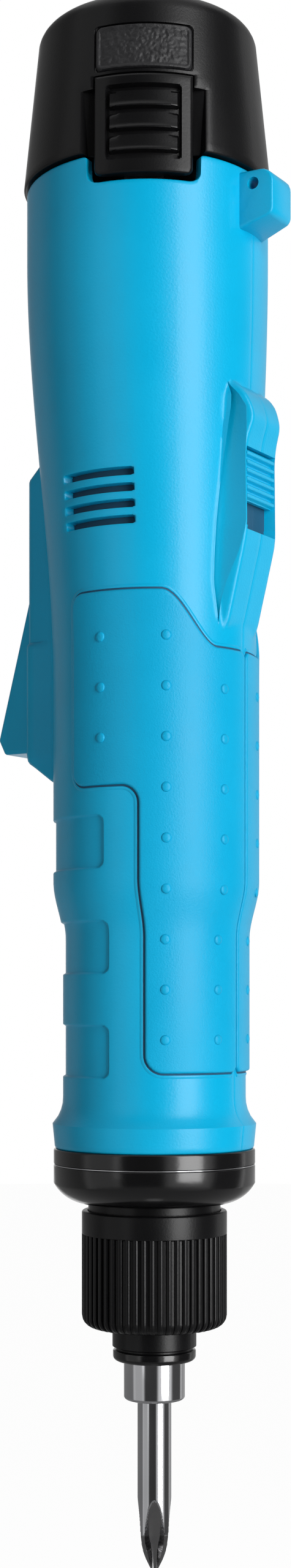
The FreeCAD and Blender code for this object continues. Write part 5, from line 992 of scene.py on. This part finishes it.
# %% [markdown]
# ## Turned rings of the nose
#
# Rings are lathed from a closed profile whose corners are rounded first. Even a quarter of a millimetre of
# rounding catches a thin line of light, and that line is what makes a plastic edge look real.

# %% Nose cap, flange, lip and sleeve
CAP_MOUTH, CAP_SHOULDER, CAP_ARC, CAP_BORE, CAP_WALL = 12.6, 72.2, 7.0, 15.3, 2.4
FLANGE_BORE, FLANGE_ROUND, PART_LINE, PART_WIRE = 14.0, 0.45, 0.28, 0.12
CAP_ARC_STEPS, PART_SIDES = 14, 8
LIP_BORE, LIP_ROUNDS = 5.95, [0.15, 0.85, 0.4, 0.15]
SLEEVE_BORE, SLEEVE_CHAMBER, SLEEVE_LAND, SLEEVE_ROUNDS = 4.75, 5.3, 8.9, [0.3, 0.6, 0.2, 0.1, 0.1, 0.2]
cap_foot = low("nose_cap")[2]
cap_ends = np.array([(CAP_MOUTH, cap_foot), (nose_radius, CAP_SHOULDER)])
cap_centre = arc_centre(*cap_ends, CAP_ARC, 1.0)
cap = arc_points(cap_centre, *(cap_ends - cap_centre), CAP_ARC, CAP_ARC_STEPS)
cap += [(nose_radius, flange_foot - PART_LINE), (nose_radius - PART_LINE, flange_foot),
        (CAP_BORE, flange_foot), (CAP_BORE, CAP_SHOULDER), (CAP_MOUTH, cap_foot + CAP_WALL)]
flange = round_corners(
    [(FLANGE_BORE, flange_foot), (nose_radius - PART_LINE, flange_foot),
     (nose_radius, flange_foot + PART_LINE), (nose_radius, flange_top), (FLANGE_BORE, flange_top)],
    [0.0, 0.0, 0.0, FLANGE_ROUND, 0.0])
parting = [(nose_radius - PART_WIRE + PART_WIRE * math.cos(turn), flange_foot + PART_WIRE * math.sin(turn))
           for turn in full_turn(PART_SIDES)]
lip_foot, lip_top = foot_and_top("lip_ring")
lip_radius = high("lip_ring")[0]
lip = round_corners(
    [(LIP_BORE, lip_foot), (lip_radius, lip_foot), (lip_radius, lip_top), (LIP_BORE, lip_top)], LIP_ROUNDS)
sleeve_foot, sleeve_top = foot_and_top("bit_lock_sleeve")
sleeve_radius, land_top = high("bit_lock_sleeve")[0], sleeve_foot + SLEEVE_LAND
sleeve = round_corners(
    [(SLEEVE_BORE, sleeve_foot), (sleeve_radius, sleeve_foot), (sleeve_radius, sleeve_top),
     (SLEEVE_CHAMBER, sleeve_top), (SLEEVE_CHAMBER, land_top), (SLEEVE_BORE, land_top)], SLEEVE_ROUNDS)
for node, profile in (("nose_cap", cap), ("nose_flange", flange)):
    lathe(node + "_skin", profile, "tool", "black_plastic", [node], finishes=["gloss_black"])
lathe("parting_ring", parting, "tool", "polished_steel", crease=80.0)
lathe("lip_ring_skin", lip, "tool", "black_plastic", ["lip_ring"], finishes=["gloss_black"])
lathe("bit_lock_sleeve_skin", sleeve, "sleeve", "polished_steel", ["bit_lock_sleeve"])
print("nose rings up to", round(flange_top, 1), "mm")

# %% [markdown]
# ## The cross-point bit
#
# The bit is again a form met by rays: a rounded cone that ends a cylinder, minus four leaning round
# grooves. Because the grooves lean out of the bar, their borders become the leaf shapes that a cross point
# shows.

# %% Bit with four flutes
BIT_RADIUS, TIP_RADIUS, TAPER_LENGTH, TAPER_BEND, FLUTE_TOP = 3.175, 0.8, 7.4, 0.9, 13.3
FLUTE_ROUNDS, FLUTE_CORE, FLUTE_HEADING, FLUTE_BEND = (0.75, 1.9), 0.55, -58.0, 1.8
BIT_FAR, BIT_NEAR, BIT_STEPS, BIT_TURN, BAR_SLACK = 3.6, 0.05, 70, 2.0, 0.02
POINT_RUN, BAR_STEP = (0.0, 14.2, 0.22), 1.6


def bit_form(x, y, level):
    share = np.clip(level / TAPER_LENGTH, 0.0, 1.0)
    radius = TIP_RADIUS + (BIT_RADIUS - TIP_RADIUS) * np.sin(share * math.pi / 2.0) ** TAPER_BEND
    groove = FLUTE_ROUNDS[0] + (FLUTE_ROUNDS[1] - FLUTE_ROUNDS[0]) * ease(level / TAPER_LENGTH)
    rise = (np.maximum(level, 0.0) / FLUTE_TOP) ** FLUTE_BEND
    centre = FLUTE_CORE + (BIT_RADIUS - FLUTE_CORE) * rise + groove
    form = np.hypot(x, y) - radius
    for quarter in range(4):
        heading = math.radians(FLUTE_HEADING + 90.0 * quarter)
        along = x * math.cos(heading) + y * math.sin(heading)
        across = -x * math.sin(heading) + y * math.cos(heading)
        form = np.maximum(form, groove - np.hypot(along - centre, across))
    return form


bit_turns = np.radians(np.arange(0.0, 360.0, BIT_TURN))
bit_levels = lines(0.0, high("screwdriver_bit")[2], BAR_STEP, runs([POINT_RUN]), gap=0.05)
turn, level = np.meshgrid(bit_turns, bit_levels)
bit_rays, bit_starts = polar(1.0, turn, 0.0).reshape(-1, 3), polar(0.0, turn, level).reshape(-1, 3)
bit_reach = settle(bit_form, bit_starts, bit_rays, BIT_FAR, BIT_NEAR, BIT_STEPS)
bit_points = bit_starts + bit_rays * bit_reach[:, None]
bit_faces = capped_faces(*turn.shape)
# Flute faces wear the rougher steel whose darker tint is painted shade; the bar keeps the polished steel.
bar = bit_reach > BIT_RADIUS - BAR_SLACK
bit_finish = [0 if bar[face[:4]].any() else 1 for face in bit_faces]
bit_finish[-1] = 0
add_piece("screwdriver_bit_skin", bit_points, bit_faces, "spindle", "polished_steel", ["screwdriver_bit"],
          crease=30.0, finishes=["polished_steel", "tip_steel"], face_finish=bit_finish)
print("bit has", len(bit_faces), "faces")

# %% [markdown]
# ## The battery cap
#
# The cap is a turned cone with a rounded crown. Two wide recesses take the latches and two shallow pockets
# the pads. Their sides are straight, so the grid lines near them keep a fixed distance from the latch's
# middle.

# %% Cap profile and recesses
CAP_FOOT_RADIUS = (high("battery_cap")[0] - low("battery_cap")[0]) / 2.0
CAP_TOP_RADIUS, CROWN_ROUND, CROWN_STEPS = CAP_FOOT_RADIUS - 2.75, 3.4, 9
RECESS_HALF, RECESS_TOP, RECESS_FLOOR = 11.05, housing_rim + 12.0, CAP_FOOT_RADIUS - 4.4
RECESS_WALL, RECESS_RIM, RECESS_RIM_WIDTH = 0.08, 0.25, 0.25
BAY_HALF, BAY_TOP = 9.05, latch_top + 0.3
POCKET_HALF, POCKET_DEPTH, POCKET_ROUND, POCKET_GAP, POCKET_WALL = 8.8, 0.75, 1.2, 0.2, 0.1
CAP_LINES = (0.0, 3.0, 6.0, 7.4, 7.9, 8.3, 8.6, 8.74, 8.86, 9.01, 9.09, 9.4, 10.2, 11.01, 11.09, 11.3, 11.8,
             13.0, 15.0)
RECESS_LINES = (-0.5, -0.2, -0.04, 0.04, 0.2, 0.5)
RIM_WALL, RIM_LEAST, RIM_HEIGHT = 2.1, 1.0, 2.2
STRAIGHT_END, STRAIGHT_FADE, SINE_MOST, CARVED_HALF = 70.0, 30.0, 0.999, 60.0
CAP_TURN_STEP, CAP_LEVEL_STEP = 2.5, 1.6
crown_foot = battery_top - CROWN_ROUND
pocket_foot, pocket_top = pad_foot - POCKET_GAP, pad_top + POCKET_GAP


def cap_radius(level):
    return np.interp(level, [battery_foot, crown_foot], [CAP_FOOT_RADIUS, CAP_TOP_RADIUS])


def cap_reach(across, level, radius):
    recess = np.maximum(np.abs(across) - RECESS_HALF, level - RECESS_TOP)
    recess = np.minimum(recess, np.maximum(np.abs(across) - BAY_HALF, level - BAY_TOP))
    pocket = rounded_box(across, POCKET_HALF, level, pocket_foot, pocket_top, POCKET_ROUND)
    floor = RECESS_FLOOR / np.sqrt(np.maximum(1.0 - (across / radius) ** 2, 0.1))
    rim = RECESS_RIM * np.exp(-np.maximum(recess, 0.0) / RECESS_RIM_WIDTH)
    depth = (radius - floor) * sunk(recess, RECESS_WALL) + rim
    return radius - np.maximum(depth, POCKET_DEPTH * sunk(pocket, POCKET_WALL))


def straightened(foot_turn, radius):
    offset = np.where(foot_turn > 180.0, 360.0 - foot_turn, foot_turn) - LATCH_HEADING
    across = CAP_FOOT_RADIUS * np.sin(np.radians(offset))
    straight = np.degrees(np.arcsin(np.clip(across / radius, -SINE_MOST, SINE_MOST)))
    return offset + (straight - offset) * ease((STRAIGHT_END - np.abs(offset)) / STRAIGHT_FADE)


def battery_points():
    offsets = [math.degrees(math.asin(step / CAP_FOOT_RADIUS)) for step in CAP_LINES]
    marks = beside((LATCH_HEADING, 360.0 - LATCH_HEADING), offsets + [-offset for offset in offsets])
    edges = beside((RECESS_TOP, BAY_TOP, pocket_foot, pocket_top), RECESS_LINES)
    edges += beside([battery_foot], EDGE_LINES)
    foot_turn, level = np.meshgrid(lines(0.0, 360.0 - CAP_TURN_STEP, CAP_TURN_STEP, marks, gap=0.1),
                                   lines(battery_foot, crown_foot, CAP_LEVEL_STEP, edges, gap=0.03))
    radius = cap_radius(level)
    offset = straightened(foot_turn, radius)
    turn = np.radians(LATCH_HEADING + offset) * np.where(foot_turn > 180.0, -1.0, 1.0)
    carved = cap_reach(radius * np.sin(np.radians(offset)), level, radius)
    reach = np.where(np.abs(offset) < CARVED_HALF, carved, radius)
    reach = reach - rolled(level - battery_foot, EDGE_WIDTH, EDGE_FALL)
    inside = np.minimum(CAP_FOOT_RADIUS - RIM_WALL, reach[0] - RIM_LEAST)
    sheets = [polar(inside, turn[0], battery_foot + rise)[None] for rise in (RIM_HEIGHT, 0.0)]
    sheets.append(polar(reach, turn, level))
    for share in np.linspace(0.0, math.pi / 2.0, CROWN_STEPS)[1:]:
        crown = CAP_TOP_RADIUS - CROWN_ROUND + CROWN_ROUND * math.cos(share)
        sheets.append(polar(crown, turn[-1], crown_foot + CROWN_ROUND * math.sin(share))[None])
    return np.concatenate(sheets) + [battery_axis, 0.0, 0.0]


cap_points = battery_points()
cap_faces = capped_faces(*cap_points.shape[:2])
add_piece("battery_cap_skin", cap_points.reshape(-1, 3), cap_faces, "battery", "black_plastic",
          ["battery_cap"], crease=36.0)
print("battery cap has", len(cap_faces), "faces")

# %% [markdown]
# ## Latches and grained pads
#
# Both are plates: a front sheet with its relief, a flat back, and a rim between them. The latch relief is a
# frame round a window with three shingled bars; the pads get a coarse grain from seeded noise.

# %% Plates on the cone
def plate(name, across, level, front, back, heading, body, slot, nodes=(), crease=34.0):
    turn = math.radians(heading)
    sheets = []
    for depth in (front, back):
        x = battery_axis + depth * math.cos(turn) - across * math.sin(turn)
        y = depth * math.sin(turn) + across * math.cos(turn)
        sheets.append(np.stack([x, y, level], axis=-1).reshape(-1, 3))
    index = np.arange(across.size).reshape(across.shape)
    border = np.concatenate([index[0], index[1:, -1], index[-1, -2::-1], index[-2:0:-1, 0]])
    following = np.roll(border, -1)
    sheet_faces = grid_faces(*across.shape)
    rim_faces = np.stack([following, border, border + across.size, following + across.size], axis=1)
    faces = np.concatenate([sheet_faces, sheet_faces[:, ::-1] + across.size, rim_faces])
    return add_piece(name, np.concatenate(sheets), faces, body, slot, nodes, crease)


print("a plate has a front, a back and a rim")

# %% Ribbed latches
LATCH_HALF, LATCH_PROUD, LATCH_ROUND, LATCH_WALL, LATCH_BACK = 8.75, 0.4, 1.2, 0.4, (2.2, 3.9)
LATCH_EDGE, LATCH_FALL, LATCH_STEPS = 0.5, 0.35, (1.0, 0.7)
WINDOW_HALF, WINDOW_DEPTH, WINDOW_CORNER, WINDOW_WALL, WINDOW_LEAST = 6.65, 1.2, 0.8, 0.3, 0.5
WINDOW_FOOT, WINDOW_TOP = latch_foot + 2.5, latch_top - 2.1
BAR_HEIGHT, BAR_PITCH, BAR_COUNT, BAR_HALF, BAR_DROP = 3.1, 4.05, 3, 6.1, 0.9
BAR_CORNER, BAR_WALL, BAR_RISE, BAR_SLOPE = 0.5, 0.2, 0.72, 0.2
BAR_LIP, BAR_LIP_PLACE, BAR_LIP_BAND = 0.25, 0.92, 0.07
LATCH_COLUMNS = (6.0, 6.1, 6.2, 6.5, 6.65, 6.8, 8.2, 8.4, 8.6, 8.75)
LATCH_FOOT_LINES = (0.15, 0.35, 0.6, 0.9, 1.2, 2.35, 2.5, 2.65)
LATCH_TOP_LINES = (0.15, 0.35, 0.6, 1.95, 2.1, 2.25)
BAR_LINES = (-0.12, 0.0, 0.12, 0.25, 0.4, 0.55)
bar_tops = [WINDOW_TOP - BAR_DROP - step * BAR_PITCH for step in range(BAR_COUNT)]


def latch_relief(across, level):
    window = rounded_box(across, WINDOW_HALF, level, WINDOW_FOOT, WINDOW_TOP, WINDOW_CORNER)
    depth = WINDOW_DEPTH * sunk(window, WINDOW_WALL)
    for top in bar_tops:
        share = np.clip((top - level) / BAR_HEIGHT, 0.0, 1.0)
        within = rounded_box(across, BAR_HALF, level, top - BAR_HEIGHT, top, BAR_CORNER)
        lift = BAR_RISE + BAR_SLOPE * share + BAR_LIP * bell(share - BAR_LIP_PLACE, BAR_LIP_BAND)
        depth = depth - lift * sunk(within, BAR_WALL) * (depth > WINDOW_LEAST)
    edge = np.minimum(LATCH_HALF - np.abs(across), np.minimum(level - latch_foot, latch_top - level))
    return depth + rolled(edge, LATCH_EDGE, LATCH_FALL)


def make_latch(name, heading):
    sides = [side * line for line in LATCH_COLUMNS for side in (-1, 1)]
    columns = lines(-LATCH_HALF, LATCH_HALF, LATCH_STEPS[0], sides, gap=0.04)
    marks = beside([top - drop for top in bar_tops for drop in (0.0, BAR_HEIGHT)], BAR_LINES)
    marks += beside([latch_foot], LATCH_FOOT_LINES) + [latch_top - line for line in LATCH_TOP_LINES]
    across, level = np.meshgrid(columns, lines(latch_foot, latch_top, LATCH_STEPS[1], marks, gap=0.04))
    relief = latch_relief(across, level)
    corner = np.clip(LATCH_ROUND - (level - latch_foot), 0.0, LATCH_ROUND)
    half = LATCH_HALF - (LATCH_ROUND - np.sqrt(LATCH_ROUND ** 2 - corner ** 2))
    across = across * half / LATCH_HALF
    slope = (CAP_TOP_RADIUS - CAP_FOOT_RADIUS) / (crown_foot + LATCH_PROUD - latch_foot)
    radius = CAP_FOOT_RADIUS + LATCH_PROUD + slope * (level - latch_foot)
    front = np.sqrt(radius ** 2 - across ** 2) - relief
    lean = np.interp(level, [latch_foot, latch_top], [CAP_FOOT_RADIUS - inset for inset in LATCH_BACK])
    back = np.minimum(lean, front - LATCH_WALL)
    return plate(name + "_skin", across, level, front, back, heading, name, "black_plastic", [name])


for name in ("latch_left", "latch_right"):
    latch = make_latch(name, math.copysign(LATCH_HEADING, low(name)[1] + high(name)[1]))
print("latches of", len(latch.data.polygons), "faces")

# %% Grained pads
PAD_HALF, PAD_PROUD, PAD_BORDER, PAD_STEP, PAD_CORNER, PAD_THICK = 8.6, 0.2, 0.9, 0.22, 1.2, 0.6
FIELD_DEPTH, FIELD_WIDTH, GRAIN_SPAN, GRAIN_MIDDLE = 0.3, 0.3, 0.44, 0.25
PAD_GROOVE, PAD_GROOVE_WIDTH, PAD_EDGE, PAD_FALL, PAD_MOST, RELIEF_MOST = 0.3, 0.22, 0.3, 0.6, 1.6, 0.9


def smooth_noise(shape, seed):
    values = np.random.default_rng(seed).random(shape)
    return (values + np.roll(values, 1, 0) + np.roll(values, 1, 1) + np.roll(values, (1, 1), (0, 1))) / 4.0


def make_pad(name, heading, nodes, seed):
    across, level = np.meshgrid(lines(-PAD_HALF, PAD_HALF, PAD_STEP), lines(pad_foot, pad_top, PAD_STEP))
    edge = -rounded_box(across, PAD_HALF, level, pad_foot, pad_top, PAD_CORNER)
    field = ease((edge - PAD_BORDER) / FIELD_WIDTH)
    groove = PAD_GROOVE * bell(edge - PAD_BORDER, PAD_GROOVE_WIDTH)
    relief = groove + field * (FIELD_DEPTH - GRAIN_SPAN * (smooth_noise(across.shape, seed) - GRAIN_MIDDLE))
    relief = np.maximum(relief, 0.0) + rolled(edge, PAD_EDGE, PAD_FALL, PAD_MOST)
    radius = cap_radius(level) + PAD_PROUD
    front = np.sqrt(radius ** 2 - across ** 2) - np.minimum(relief, RELIEF_MOST)
    back = front - PAD_THICK
    return plate(name, across, level, front, back, heading, "battery", "grain_pad", nodes, crease=50.0)


pads = [make_pad("battery_pad_left", -LATCH_HEADING, ["battery_pads"], 3),
        make_pad("battery_pad_right", LATCH_HEADING, (), 5)]
print("pads of", len(pads[0].data.polygons), "faces")

# %% [markdown]
# ## The hanging lug
#
# The lug is a stout wedge under the rim with a small eye for a cord. Its side view is drawn with rounded
# outer corners and swept across; a bevel rolls its edges, and a Boolean modifier drills the eye before the
# mesh is taken over.

# %% Lug with its eye
LUG_HALF, LUG_DRAFT, LUG_SLOPE, LUG_EDGE, LUG_LAP = 4.2, 0.1, 2.0, 0.45, 0.4
LUG_ROUNDS, LUG_SEGMENTS, LUG_PROFILE = [0.0, 0.0, 1.4, 2.4, 0.0], 3, 0.5
EYE_REACH, EYE_DROP, EYE_RADIUS, EYE_SIDES = 23.2, 2.4, 1.1, 28


def prism(outline, half):
    count = len(outline)
    points = [(x, side * half(x), z) for side in (-1.0, 1.0) for x, z in outline]
    faces = [list(range(count)), list(range(count, 2 * count))[::-1]]
    faces += [[step, (step + 1) % count, count + (step + 1) % count, count + step] for step in range(count)]
    shell = bmesh.new()
    corners = [shell.verts.new(np.array(point) * MM) for point in points]
    for face in faces:
        shell.faces.new([corners[index] for index in face])
    bmesh.ops.recalc_face_normals(shell, faces=shell.faces)
    return shell


def make_lug():
    (foot, rim), reach = foot_and_top("hang_lug"), high("hang_lug")[0]
    skin = HEAD_RADIUS + battery_axis
    outline = round_corners([(skin - WALL, foot), (skin - LUG_LAP, foot), (reach, foot + LUG_SLOPE),
                             (reach, rim), (skin - WALL, rim)], LUG_ROUNDS)
    block = prism(outline, lambda x: LUG_HALF - LUG_DRAFT * (x - skin))
    rims = [edge for edge in block.edges if abs(edge.verts[0].co.y - edge.verts[1].co.y) < LUG_HALF * MM]
    bmesh.ops.bevel(block, geom=rims, offset=LUG_EDGE * MM, segments=LUG_SEGMENTS, profile=LUG_PROFILE,
                    affect="EDGES")
    eye = [(EYE_REACH + EYE_RADIUS * math.cos(turn), rim - EYE_DROP + EYE_RADIUS * math.sin(turn))
           for turn in full_turn(EYE_SIDES)]
    helpers = []
    for name, shell in (("lug_block", block), ("lug_drill", prism(eye, lambda x: 2.0 * LUG_HALF))):
        mesh = bpy.data.meshes.new(name)
        shell.to_mesh(mesh)
        shell.free()
        helpers.append(add_object(name, mesh))
    cut = helpers[0].modifiers.new("eye", "BOOLEAN")
    cut.operation, cut.solver, cut.object = "DIFFERENCE", "EXACT", helpers[1]
    mesh = taken_over(helpers[0], helpers)
    mesh.materials.clear()
    mesh.materials.append(FINISH["blue_plastic"])
    return place_mesh("hang_lug_skin", mesh, "tool", ["hang_lug"], crease=30.0)


lug = make_lug()
print("lug has", len(lug.data.polygons), "faces")

# %% [markdown]
# ## Nodes that stay as they are
#
# The lever and slider are crisp prisms already; a weld, a small bevel and weighted normals give them soft
# edges without touching their meshes. Every node that is still shown gets the finish of its own slot.

# %% Bevel the blue controls
WELD_GAP, BEVEL_ANGLE, BEVEL_SEGMENTS = 0.02, 35.0, 3
CONTROL_EDGES = {"start_lever": 0.35, "direction_slider": 0.2}


def soften(node, width):
    shown = frame["nodes"][node]
    shown.modifiers.new("weld", "WELD").merge_threshold = WELD_GAP * MM
    bevel = shown.modifiers.new("bevel", "BEVEL")
    bevel.width = width * MM
    bevel.segments = BEVEL_SEGMENTS
    bevel.limit_method = "ANGLE"
    bevel.angle_limit = math.radians(BEVEL_ANGLE)
    bevel.use_clamp_overlap = True
    shown.modifiers.new("normals", "WEIGHTED_NORMAL").keep_sharp = True


for node, width in CONTROL_EDGES.items():
    soften(node, width)
print(len(CONTROL_EDGES), "controls have bevelled edges")

# %% Finishes of the shown nodes
slot_of = {part["node"]: part["material_slot"] for part in frame["record"]["subparts"]}
for name, node in frame["nodes"].items():
    node.data.materials.clear()
    node.data.materials.append(FINISH[slot_of[name]])
print(sum(not node.hide_render for node in frame["nodes"].values()), "nodes are shown as they are")

# %% [markdown]
# ## Floor, light and camera
#
# A pale floor well below the tip fades into a white surround, so the tool stands on its own. Large soft
# lamps give the broad highlight right of the middle and the pale line on the left edge. Dark cards, which
# only mirror-like rays see, put dark bands into the reflections. The camera looks level from a little to
# the back.

# %% Floor and surround
FLOOR_LEVEL, FLOOR_GLOW, SOFT_LEVEL, FLOOR_TONE, FLOOR_ROUGH = -0.2, 0.975, 0.06, 0.8, 0.9
FLOOR_RINGS, FLOOR_SIDES = (0.05, 0.3, 0.9, 3.0), 64
WHITE = (1.0, 1.0, 1.0, 1.0)


def seen_directly(tree):
    path, *adders = new_nodes(tree, "ShaderNode", "LightPath", "Math", "Math")
    total = path.outputs["Is Camera Ray"]
    for add, kind in zip(adders, ("Is Glossy Ray", "Is Transmission Ray")):
        add.operation = "ADD"
        add.use_clamp = True
        tree.links.new(total, add.inputs[0])
        tree.links.new(path.outputs[kind], add.inputs[1])
        total = add.outputs["Value"]
    return total


def stage_floor():
    points = np.concatenate([polar(reach, full_turn(FLOOR_SIDES), FLOOR_LEVEL) for reach in FLOOR_RINGS])
    faces = grid_faces(len(FLOOR_RINGS), FLOOR_SIDES, wrap=True).tolist() + [list(range(FLOOR_SIDES))]
    floor = add_object("floor", new_mesh("floor", points, faces, 1.0))
    paint, tree = new_paint("pale_floor")
    shader = tree.nodes["Principled BSDF"]
    glow, share, mix = new_nodes(tree, "ShaderNode", "Emission", "Math", "MixShader")
    share.operation = "MULTIPLY"
    fill(shader, {"Base Color": (FLOOR_TONE, FLOOR_TONE, FLOOR_TONE, 1.0), "Roughness": FLOOR_ROUGH})
    fill(glow, {"Color": WHITE})
    fill(share, {1: FLOOR_GLOW})
    tree.links.new(seen_directly(tree), share.inputs[0])
    wire(tree, (share, "Value", mix, "Fac"), (shader, "BSDF", mix, 1), (glow, "Emission", mix, 2),
         (mix, "Shader", tree.nodes["Material Output"], "Surface"))
    floor.data.materials.append(paint)


def surround():
    world = bpy.data.worlds.new("surround")
    bpy.context.scene.world = world
    world.use_nodes = True
    tree = world.node_tree
    sky = tree.nodes["Background"]
    strength, = new_nodes(tree, "ShaderNode", "MapRange")
    fill(sky, {"Color": WHITE})
    fill(strength, {"To Min": SOFT_LEVEL, "To Max": 1.0})
    tree.links.new(seen_directly(tree), strength.inputs["Value"])
    wire(tree, (strength, "Result", sky, "Strength"))


stage_floor()
surround()
print("floor and surround are ready")

# %% Lamps
CAMERA_HEADING = 32.0
LAMPS = (("key", 0.52, 0.6, 0.3, (0.4, 1.0), 9.8), ("fill", -0.45, 0.7, 0.3, (0.5, 0.9), 1.35),
         ("edge", -0.5, -0.5, 0.25, (0.3, 0.9), 0.8), ("back", 0.5, -0.6, 0.25, (0.5, 0.9), 2.6))
heading = math.radians(CAMERA_HEADING)
toward = np.array([math.sin(heading), -math.cos(heading), 0.0])
sideways = np.array([math.cos(heading), math.sin(heading), 0.0])


def lamp(name, right, front, level, size, power):
    data = bpy.data.lights.new(name, "AREA")
    data.shape = "RECTANGLE"
    data.size, data.size_y = size
    data.energy = power
    spot = sideways * right + toward * front
    shown = add_object(name, data)
    shown.location = (spot[0], spot[1], level)
    shown.rotation_euler = (math.pi / 2.0, 0.0, math.atan2(-spot[1], -spot[0]) - math.pi / 2.0)


for values in LAMPS:
    lamp(*values)
print(len(LAMPS), "soft lamps")

# %% Dark cards
CARD_REACH, CARD_FOOT, CARD_TOP, CARD_SOFT, CARD_STEPS = 0.45, -0.19, 0.9, 12.0, 25
UPRIGHT_ROWS, FLAT_ROWS = ((CARD_REACH, CARD_FOOT), (CARD_REACH, CARD_TOP)), ((0.02, -0.15), (0.45, -0.15))
CARDS = (("card_front", -46.0, 19.0, 0.06, UPRIGHT_ROWS), ("card_right", 62.0, 122.0, 0.1, UPRIGHT_ROWS),
         ("card_left", -168.0, -78.0, 0.24, UPRIGHT_ROWS), ("card_fill", -86.0, -38.0, 0.6, UPRIGHT_ROWS),
         ("card_back", 112.0, 172.0, 0.45, UPRIGHT_ROWS), ("card_under", -195.0, 195.0, 0.28, FLAT_ROWS))
UNSEEN_BY = ("visible_camera", "visible_diffuse", "visible_shadow", "visible_transmission")


def dark_card(name, first, last, tone, rows):
    bearing = np.linspace(first, last, CARD_STEPS)
    shade = np.tile(ease(np.minimum(bearing - first, last - bearing) / CARD_SOFT), 2)
    spots = [toward * math.cos(turn) + sideways * math.sin(turn) for turn in np.radians(bearing)]
    points = [(spot[0] * reach, spot[1] * reach, level) for reach, level in rows for spot in spots]
    mesh = new_mesh(name, points, grid_faces(2, CARD_STEPS), 1.0)
    mesh.attributes.new("shade", "FLOAT", "POINT").data.foreach_set("value", shade)
    card = add_object(name, mesh)
    for sight in UNSEEN_BY:
        setattr(card, sight, False)
    paint, tree = new_paint(name)
    tree.nodes.remove(tree.nodes["Principled BSDF"])
    share, clear, dark, mix = new_nodes(tree, "ShaderNode", "Attribute", "BsdfTransparent", "Emission",
                                        "MixShader")
    share.attribute_name = "shade"
    fill(dark, {"Strength": tone})
    wire(tree, (share, "Fac", mix, "Fac"), (clear, "BSDF", mix, 1), (dark, "Emission", mix, 2),
         (mix, "Shader", tree.nodes["Material Output"], "Surface"))
    mesh.materials.append(paint)


for values in CARDS:
    dark_card(*values)
print(len(CARDS), "dark cards")

# %% Camera
CAMERA_DISTANCE, CAMERA_LEVEL, CAMERA_SIDE = 385.0, 106.8, -1.66
CAMERA_LENS, CAMERA_SHIFT, CAMERA_SENSOR, CAMERA_NEAR = 47.32, 0.1355, 36.0, 0.01
camera_data = bpy.data.cameras.new("camera")
camera_data.sensor_width = CAMERA_SENSOR
camera_data.lens = CAMERA_LENS
camera_data.shift_y = CAMERA_SHIFT
camera_data.clip_start = CAMERA_NEAR
camera = add_object("camera", camera_data)
upright = np.array([0.0, 0.0, CAMERA_LEVEL])
camera.location = (toward * CAMERA_DISTANCE + sideways * CAMERA_SIDE + upright) * MM
camera.rotation_euler = (math.pi / 2.0, 0.0, heading)
bpy.context.scene.camera = camera
bpy.context.scene.view_settings.view_transform = "Standard"
print("camera at", [round(value, 4) for value in camera.location])
